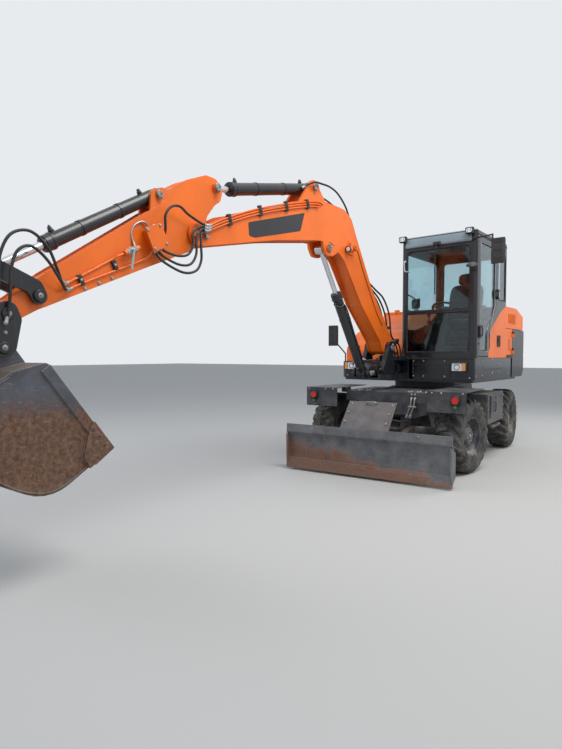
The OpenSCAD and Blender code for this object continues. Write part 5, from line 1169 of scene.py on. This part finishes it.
def ram_details(place, base, eye, barrel, length, rod, side_up, pipe_side):
    """A cylinder's gland nut with its spanner flats, end cap ring, weld collar and two ports with a steel
    pipe."""
    ram = ram_frame(place, base, eye)
    gland = [lathe([(rod + 0.004, length - 0.002), (barrel + 0.001, length - 0.002),
                    (barrel + 0.001, length + 0.010), (rod + 0.010, length + 0.016),
                    (rod + 0.004, length + 0.014)], (0, 0, 0), FRONT, 36, ring=True),
             lathe([(barrel + 0.0055, length - 0.064), (barrel + 0.0085, length - 0.060),
                    (barrel + 0.0085, length - 0.046), (barrel + 0.0055, length - 0.042)], (0, 0, 0), FRONT,
                   36, ring=True)]
    up = 1 if side_up else -1
    ports, line = [], []
    for f in (0.105, length - 0.085):
        lift = barrel * up
        ports.append(lathe([(0.018, -0.008), (0.018, 0.014), (0.015, 0.018)], (0, f, lift), (0, 0, up), 16))
        ports.append(lathe([(0.014, 0.014), (0.014, 0.030), (0.011, 0.034)], (0, f, lift), (0, 0, up), 6))
    high = up * (barrel + 0.036)
    far = pipe_side * (barrel + 0.012)
    line.append(tube(curve([(0, length - 0.085, up * (barrel + 0.030)), (0.3 * far, length - 0.100, high),
                            (0.8 * far, length - 0.130, 0.6 * high), (far, length - 0.17, 0.01),
                            (far, 0.5 * length, 0), (far, 0.20, 0), (1.05 * far, 0.13, 0.004)], 50), 0.0075,
                     10))
    bands = [lathe([(barrel + 0.0005, f - 0.012), (barrel + 0.0035, f - 0.012),
                    (barrel + 0.0035, f + 0.012), (barrel + 0.0005, f + 0.012)], (0, 0, 0), FRONT, 36,
                   ring=True) for f in (0.35 * length, 0.7 * length)]
    bands += [bar((far - 0.011, f - 0.010, -0.012), (far + 0.011, f + 0.010, 0.012))
              for f in (0.35 * length, 0.7 * length)]
    return put(ram, *gland, *ports, *bands), put(ram, *line)


rams = {"boom": (post, BOOM_RAM_BASE, 0.054, 1.050, False, 1),
        "arm": (boom, ARM_RAM_BASE, 0.054, 1.140, True, -1),
        "bucket": (arm, BUCKET_RAM_BASE, 0.048, 0.960, True, -1)}
ROD = 0.026
boom_eye = np.array(FOOT) + turned(BOOM_RAM_EYE, BOOM_TILT)
arm_eye = np.array((BOOM_L, 0)) + turned(ARM_RAM_EYE, ARM_TILT)
eyes = {"boom": boom_eye, "arm": arm_eye, "bucket": BUCKET_RAM_EYE}
for name, (place, base, barrel, length, side_up, pipe_side) in rams.items():
    fittings, line = ram_details(place, base, eyes[name], barrel, length, ROD, side_up, pipe_side)
    build(name + "_ram_fittings", fittings, ram_paint, name + "_barrel")
    build(name + "_ram_pipe", line, ram_paint, name + "_barrel")


# Arm, rocker and coupler
# The arm's welded box carries a valve block behind a bolted plate, ball valves with lever handles and pipes
# down to the coupler; the rocker, the link and the coupler's plates turn on hardened pins.
arm_welds = [weld([(s * (ARM_SIDE - 0.016), f, u) for f, u in line], 0.004) for s in (-1, 1)
             for line in (curve([(0.34, 0.262), (0.75, 0.200), (1.25, 0.125)], 24),
                          curve([(0.25, -0.100), (0.75, -0.076), (1.35, -0.056)], 24))]
build("arm_welds", put(arm, *arm_welds), orange_paint, "arm")
plate_out = ARM_SIDE + 0.0803
valve_bits = bolts([(plate_out, f, u) for f in (0.348, 0.462) for u in (0.018, 0.152)], LEFT, 0.009)
valve_bits += bolts([(ARM_SIDE + 0.0002, f, u) for f, u in ((0.831, -0.059), (0.939, -0.055),
                                                            (1.05, -0.052))], LEFT, 0.010)
for f in (0.372, 0.438):
    valve_bits.append(lathe([(0.016, 0), (0.016, 0.018), (0.012, 0.022)], (ARM_SIDE + 0.035, f, 0.150), UP,
                            6))
build("valve_plate_bolts", put(arm, *valve_bits), zinc, "arm")
valve_x = ARM_SIDE + 0.030
ball_body = [lathe([(0.0190, -0.046), (0.0230, -0.044), (0.0230, -0.020), (0.0275, -0.014), (0.0275, 0.014),
                    (0.0230, 0.020), (0.0230, 0.044), (0.0190, 0.046)], (valve_x, 0.622, 0.060), FRONT, 6,
                   ring=True), lathe([(0.011, 0.024), (0.011, 0.034), (0.007, 0.038)],
                                     (valve_x, 0.622, 0.060), LEFT, 12)]
ball_body += [slab(rounded([(0.606, 0.070), (0.622, 0.078), (0.712, -0.044), (0.694, -0.056)], 0.006),
                   valve_x + 0.0335, valve_x + 0.0375, 0.001)]
ball_body.append(tube(curve([(0.086, 0.405, 0.152), (0.090, 0.408, 0.190), (0.086, 0.440, 0.214),
                             (0.078, 0.500, 0.206), (0.0765, 0.548, 0.168), (0.084, 0.566, 0.110),
                             (valve_x, 0.578, 0.064)], 40), 0.0075, 10))
build("ball_valve", put(arm, *ball_body), pipe_steel, "arm")
arm_pipe_routes = [[(ARM_SIDE + 0.030, 0.684, 0.060), (ARM_SIDE + 0.026, 0.740, 0.060),
                    (ARM_SIDE + 0.012, 0.800, 0.052), (ARM_SIDE + 0.012, 1.00, 0.035),
                    (ARM_SIDE + 0.012, 1.100, 0.028), (ARM_SIDE + 0.020, 1.150, 0.026)],
                   [(ARM_SIDE + 0.034, 0.420, 0.030), (ARM_SIDE + 0.030, 0.500, -0.018),
                    (ARM_SIDE + 0.012, 0.580, -0.028), (ARM_SIDE + 0.012, 0.90, -0.018),
                    (ARM_SIDE + 0.012, 1.095, -0.013), (ARM_SIDE + 0.020, 1.145, -0.014)]]
arm_pipes = [tube(curve(route, 50), 0.0075, 10) for route in arm_pipe_routes]
clamp_spots = ((0.780, 0.012), (1.060, 0.008))
arm_clamps = [slab(box_outline((f - 0.016, u - 0.036), (f + 0.016, u + 0.036), 0.006), ARM_SIDE - 0.0005,
                   ARM_SIDE + 0.0195, 0.003) for f, u in clamp_spots]
arm_clamp_bolts = bolts([(ARM_SIDE + 0.0195, f, u) for f, u in clamp_spots], LEFT, 0.008)
nuts_at = [(route[-1], unit(np.subtract(route[-1], route[-2]))) for route in arm_pipe_routes]
arm_nuts = [lathe([(0.012, 0), (0.012, 0.020), (0.010, 0.024)], place, way, 6) for place, way in nuts_at]
build("arm_pipes", put(arm, *arm_pipes), orange_paint, "arm")
build("arm_pipe_clamps", put(arm, *arm_clamps), black_plastic, "arm")
build("arm_pipe_nuts", put(arm, *arm_nuts, *arm_clamp_bolts), pipe_steel, "arm")


def pin_cap(f, u, x, side, radius):
    """A pin's capped end: a dark boss, and the small bright centre in it."""
    boss = lathe([(radius, -0.004), (radius, 0.008), (radius - 0.005, 0.013)], (x, f, u), (side, 0, 0), 30)
    centre = lathe([(0.017, 0.0125), (0.017, 0.0155), (0.013, 0.0175), (0.005, 0.0175), (0.004, 0.026)],
                   (x, f, u), (side, 0, 0), 20)
    return boss, centre


rocker_caps = [pin_cap(f, u, side * 0.1125, side, radius) for side in (-1, 1)
               for f, u, radius in ((1.369, 0.020, 0.037), (*BUCKET_RAM_EYE, 0.031))]
build("rocker_pin_bosses", put(arm, *(boss for boss, _ in rocker_caps)), cast_dark, "rocker_links")
build("rocker_pin_centres", put(arm, *(centre for _, centre in rocker_caps)), pin_steel, "rocker_links")
coupler_caps = [pin_cap(f, u, side * 0.1392, side, 0.035) for side in (-1, 1)
                for f, u in ((ARM_L, 0.0), (1.705, -0.162), (1.860, -0.150))]
build("coupler_pin_bosses", put(arm, *(boss for boss, _ in coupler_caps)), cast_dark, "bucket")
build("coupler_pin_centres", put(arm, *(centre for _, centre in coupler_caps)), pin_steel, "bucket")
coupler_bits = []
for side in (-1, 1):
    coupler_bits += bolts([(side * 0.1392, f, u) for f, u in ((1.72, -0.06), (1.80, -0.06), (1.66, -0.09))],
                          (side, 0, 0), 0.009)
lock_body = [lathe([(0.022, 0), (0.026, 0.006), (0.026, 0.085), (0.020, 0.092)], (0, 1.735, -0.100), FRONT,
                   24), tube([(0, 1.825, -0.100), (0, 1.850, -0.106)], 0.012, 12)]
build("coupler_bolts", put(arm, *coupler_bits), pin_steel, "bucket")
build("coupler_lock", put(arm, *lock_body), ram_paint, "bucket")


# Bucket
# A ditching bucket of bent plate with a thick lip, bolted side cutters and wear strips: earth-brown rust with
# blue-grey rubbed steel on the upper sides and a polished cutting edge.
bucket_steel = ground_steel("bucket_steel", (0.095, 0.100, 0.115), (0.155, 0.080, 0.048),
                            (0.20, 0.155, 0.115), rust_top=1.02, mud_top=0.52, lean=0.06, rough=0.5)
dress(bucket_steel, "bucket")
tip, brow = np.array((1.467, -0.961)), np.array((1.600, -0.300))
mouth_way = unit(brow - tip)
mouth_back = np.array((mouth_way[1], -mouth_way[0]))
BUCKET_HALF = 0.320
cutter_bolts, bucket_welds = [], []
for side in (-1, 1):
    for along in (0.055, 0.125, 0.190):
        spot = tip + mouth_way * along + mouth_back * 0.030
        cutter_bolts.append((side * (BUCKET_HALF + 0.0175), *spot))
    side_run = curve([(1.830, -0.280), (1.945, -0.295), (2.043, -0.341), (2.099, -0.433), (2.136, -0.584),
                      (2.139, -0.692), (2.096, -0.791), (2.027, -0.883), (1.928, -0.961), (1.804, -0.981),
                      (1.620, -0.963)], 60)
    bucket_welds.append(weld([(side * (BUCKET_HALF + 0.0005), f, u) for f, u in side_run], 0.0050, 0.013))
    strip_edge = [tip + mouth_way * d + mouth_back * 0.063 for d in (0.22, 0.40, 0.62)]
    bucket_welds.append(weld([(side * (BUCKET_HALF + 0.0005), f, u) for f, u in strip_edge], 0.0045, 0.012))
    for x in (side * 0.082, side * 0.106):
        bucket_welds.append(weld([(x, f, u) for f, u in ((1.640, -0.292), (1.78, -0.262), (1.97, -0.288))],
                                 0.0045, 0.012))
plow_out = [lathe(plow, place, (1 if place[0] > 0 else -1, 0, 0), 16) for place in cutter_bolts]
build("bucket_welds", put(arm, *bucket_welds, *plow_out), bucket_steel, "bucket")


# Hydraulic hoses
# Rubber hoses with crimped steel ends cross the joints in loops: over the nose to the blade, up behind
# the boom's foot, over its knee, to the arm's valves and down to the coupler.
def hose(name, points, radius, bodies, bends=None):
    """A hose along a smooth curve through points in the row frame, with a crimped ferrule at each end. It
    rides on its body, or, given bends, on no body while its two ferrules ride on the two bodies; the points
    of bends are not used."""
    path = curve(points, 72)
    made = build(name, [tube(path, radius, 12)], hose_rubber, None if bends else bodies[0],
                 60)
    if bends:
        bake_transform(made)
    for k, (spot, onward) in enumerate(((path[0], path[1]), (path[-1], path[-2]))):
        ferrule = [(radius * 1.02, -0.004), (radius * 1.5, -0.004), (radius * 1.5, 0.007),
                   (radius * 1.28, 0.011), (radius * 1.34, 0.034), (radius * 1.02, 0.036)]
        crimp = lathe(ferrule, spot, unit(onward - spot), 18, ring=True)
        build(f"{name}_crimp_{k}", [crimp], pipe_steel, bodies[min(k, len(bodies) - 1)])


def local(place, *points):
    """Points given as (left, forward, up) in a group's frame, in the row frame."""
    return [place[0] + np.asarray(point, float) @ place[1] for point in points]


# Two hoses from the nose lines to the blade cylinder's base
for k, x in enumerate((0.270, 0.310)):
    route = local(machine, (x, 1.428, 0.650), (x - 0.02, 1.445, 0.590), (0.20, 1.465, 0.575),
                  (0.10, 1.48 + 0.035 * k, 0.590), (0.030 + 0.003 * k, 1.515 + 0.058 * k, 0.613 - 0.045 * k))
    hose(f"blade_hose_{k}", route, 0.009, ("chassis", "blade_barrel"),
                                           (route[1], route[-1]))
# Four hoses come up behind the front plate, pass a guide on the post and reach the pipes on the boom's back
GUIDE_F, GUIDE_Z = -0.100, 1.512
guide = [slab(rounded([(0.080, 1.395), (0.080, 1.470), (-0.080, 1.536), (-0.122, 1.536), (-0.122, 1.486),
                       (-0.080, 1.480)], 0.02), s * 0.1185, s * 0.1265) for s in (-1, 1)]
guide += [bar((-0.126, GUIDE_F - 0.020, z), (0.126, GUIDE_F + 0.020, z + 0.007), 0.002)
          for z in (1.492, 1.527)]
guide += bolts([(x, GUIDE_F, 1.534) for x in (-0.100, 0.0, 0.100)], UP, 0.008)
build("hose_guide", put(post, *guide), cast_dark, "swing_post")
for k, x in enumerate((-0.075, -0.027, 0.027, 0.075)):
    held = local(post, (x, GUIDE_F, GUIDE_Z))[0]
    lower = local(upper, (POST_X + 0.8 * x, 0.632, 1.150), (POST_X + 0.85 * x, 0.642, 1.300),
                  (POST_X + 0.92 * x, 0.715, 1.455)) + [held]
    hose(f"deck_hose_{k}", lower, 0.0105, ("upper", "swing_post"),
                                          (lower[1], held))
    rise = [held] + local(post, (x, GUIDE_F + 0.10, GUIDE_Z + 0.075)) \
        + local(boom, (x, 0.020, 0.400 + 0.02 * (k % 2)), (x, 0.214, 0.541 + 0.02 * (k % 2)),
                (0.9 * x, 0.420, 0.600), (0.8 * x, 0.600, 0.636), (0.8 * x, 0.680, 0.694))
    hose(f"boom_foot_hose_{k}", rise, 0.0105, ("swing_post", "boom"),
                                               (held, rise[4]))
back_pipes = []
for k, x in enumerate((-0.060, -0.0216, 0.0216, 0.060)):
    over = [(x, 0.680, 0.696), (x, 0.76, 0.768), (x, 0.90, 0.894), (x, 1.046, 1.018), (x, 1.140, 1.108)]
    back_pipes.append(tube(curve(over, 40), 0.0085, 10))
back_clamps = []
for f, u in ((0.760, 0.7505), (0.980, 0.9475)):
    spot = tilted(boom, (0, f, u), 41.9)
    back_clamps += put(spot, bar((-0.078, -0.014, -0.003), (0.078, 0.014, 0.027), 0.004),
                       *bolts([(x, 0, 0.027) for x in (-0.040, 0.0, 0.040)], UP, 0.007))
build("boom_back_pipes", put(boom, *back_pipes), orange_paint, "boom")
build("boom_back_clamps", back_clamps, black_plastic, "boom")
# From the back pipes over the knee to the arm cylinder's base
arm_ram = ram_frame(boom, ARM_RAM_BASE, arm_eye)
knee = local(boom, (0.060, 1.140, 1.108), (0.060, 1.185, 1.165), (0.062, 1.290, 1.240), (0.085, 1.485, 1.272),
             (0.135, 1.700, 1.220), (0.150, 1.860, 1.165), (0.140, 1.960, 1.130)) \
    + local(arm_ram, (0.105, 0.130, 0.020), (0.066, 0.165, 0.0))
hose("knee_hose", knee, 0.0095, ("boom", "arm_barrel"), (knee[5], knee[-1]))
inner = local(boom, (-0.0216, 1.140, 1.108), (-0.030, 1.190, 1.160), (-0.050, 1.330, 1.225),
              (-0.090, 1.520, 1.242), (-0.140, 1.700, 1.196), (-0.150, 1.860, 1.160),
              (-0.140, 1.960, 1.125)) + local(arm_ram, (-0.105, 0.130, 0.020), (-0.066, 0.165, 0.0))
hose("knee_hose_low", inner, 0.0095, ("boom", "arm_barrel"), (inner[5], inner[-1]))
# Two short hoses from the post to the boom cylinder, one on each side
boom_ram = ram_frame(post, BOOM_RAM_BASE, boom_eye)
for k, (side, along) in enumerate(((-1, 0.150), (1, 0.200))):
    route = local(post, (side * 0.118, 0.350, 1.150), (side * 0.140, 0.400, 1.200),
                  (side * 0.138, 0.480, 1.270)) + local(boom_ram, (side * 0.100, along - 0.03, 0.010),
                                                        (side * 0.066, along, 0.0))
    hose(f"boom_ram_hose_{k}", route, 0.0095, ("swing_post", "boom_barrel"),
                                              (route[1], route[4]))
# From the boom's pipes to the arm's valve block: one loop over the pin, three hanging below it
loops = [[(0.123, 3.150, 0.104), (0.124, 3.215, 0.092), (0.135, 0.035, 0.150), (0.145, 0.100, 0.225),
          (0.150, 0.185, 0.244), (0.148, 0.262, 0.205), (0.132, 0.290, 0.120), (0.112, 0.315, 0.070),
          (0.108, 0.358, 0.062)], [(0.123, 3.150, 0.080), (0.127, 3.215, 0.066), (0.136, 0.052, 0.018),
                                   (0.144, 0.105, -0.070), (0.148, 0.185, -0.112), (0.142, 0.275, -0.092),
                                   (0.120, 0.345, -0.040), (0.104, 0.375, 0.004), (0.102, 0.382, 0.020)],
         [(0.123, 3.150, 0.057), (0.132, 3.215, 0.042), (0.146, 0.050, -0.040), (0.154, 0.110, -0.135),
          (0.158, 0.200, -0.182), (0.152, 0.300, -0.152), (0.126, 0.385, -0.065), (0.106, 0.412, 0.000),
          (0.104, 0.416, 0.020)], [(0.112, 3.120, 0.020), (0.136, 3.205, 0.012), (0.156, 0.030, -0.080),
                                   (0.164, 0.090, -0.190), (0.168, 0.180, -0.242), (0.160, 0.300, -0.212),
                                   (0.132, 0.415, -0.090), (0.110, 0.440, -0.010), (0.108, 0.442, 0.020)]]
for k, points in enumerate(loops):
    route = local(boom, *points[:2]) + local(arm, *points[2:])
    hose(f"arm_hose_{k}", route, 0.0095, ("boom", "arm"), (route[1], route[6]))
# Over the rocker to the coupler
for k, points in enumerate(([(0.097, 1.178, 0.026), (0.120, 1.205, 0.050), (0.150, 1.215, 0.130),
                             (0.152, 1.215, 0.260), (0.152, 1.275, 0.375), (0.152, 1.390, 0.392),
                             (0.152, 1.500, 0.305), (0.154, 1.575, 0.170), (0.156, 1.640, 0.075),
                             (0.152, 1.675, 0.040)], [(0.097, 1.173, -0.014), (0.122, 1.205, 0.000),
                                                      (0.168, 1.235, 0.060), (0.170, 1.262, 0.200),
                                                      (0.170, 1.318, 0.298), (0.170, 1.405, 0.298),
                                                      (0.168, 1.485, 0.215), (0.162, 1.545, 0.100),
                                                      (0.156, 1.600, 0.010), (0.152, 1.640, -0.040)])):
    route = local(arm, *points)
    hose(f"coupler_hose_{k}", route, 0.009, ("arm", "bucket"),
                                             (route[5], route[9]))
coupler_ports = [lathe([(0.014, 0), (0.014, 0.012), (0.010, 0.016)], (0.1388, f, u), LEFT, 6)
                 for f, u in ((1.675, 0.040), (1.640, -0.040))]
build("coupler_ports", put(arm, *coupler_ports), pipe_steel, "bucket")
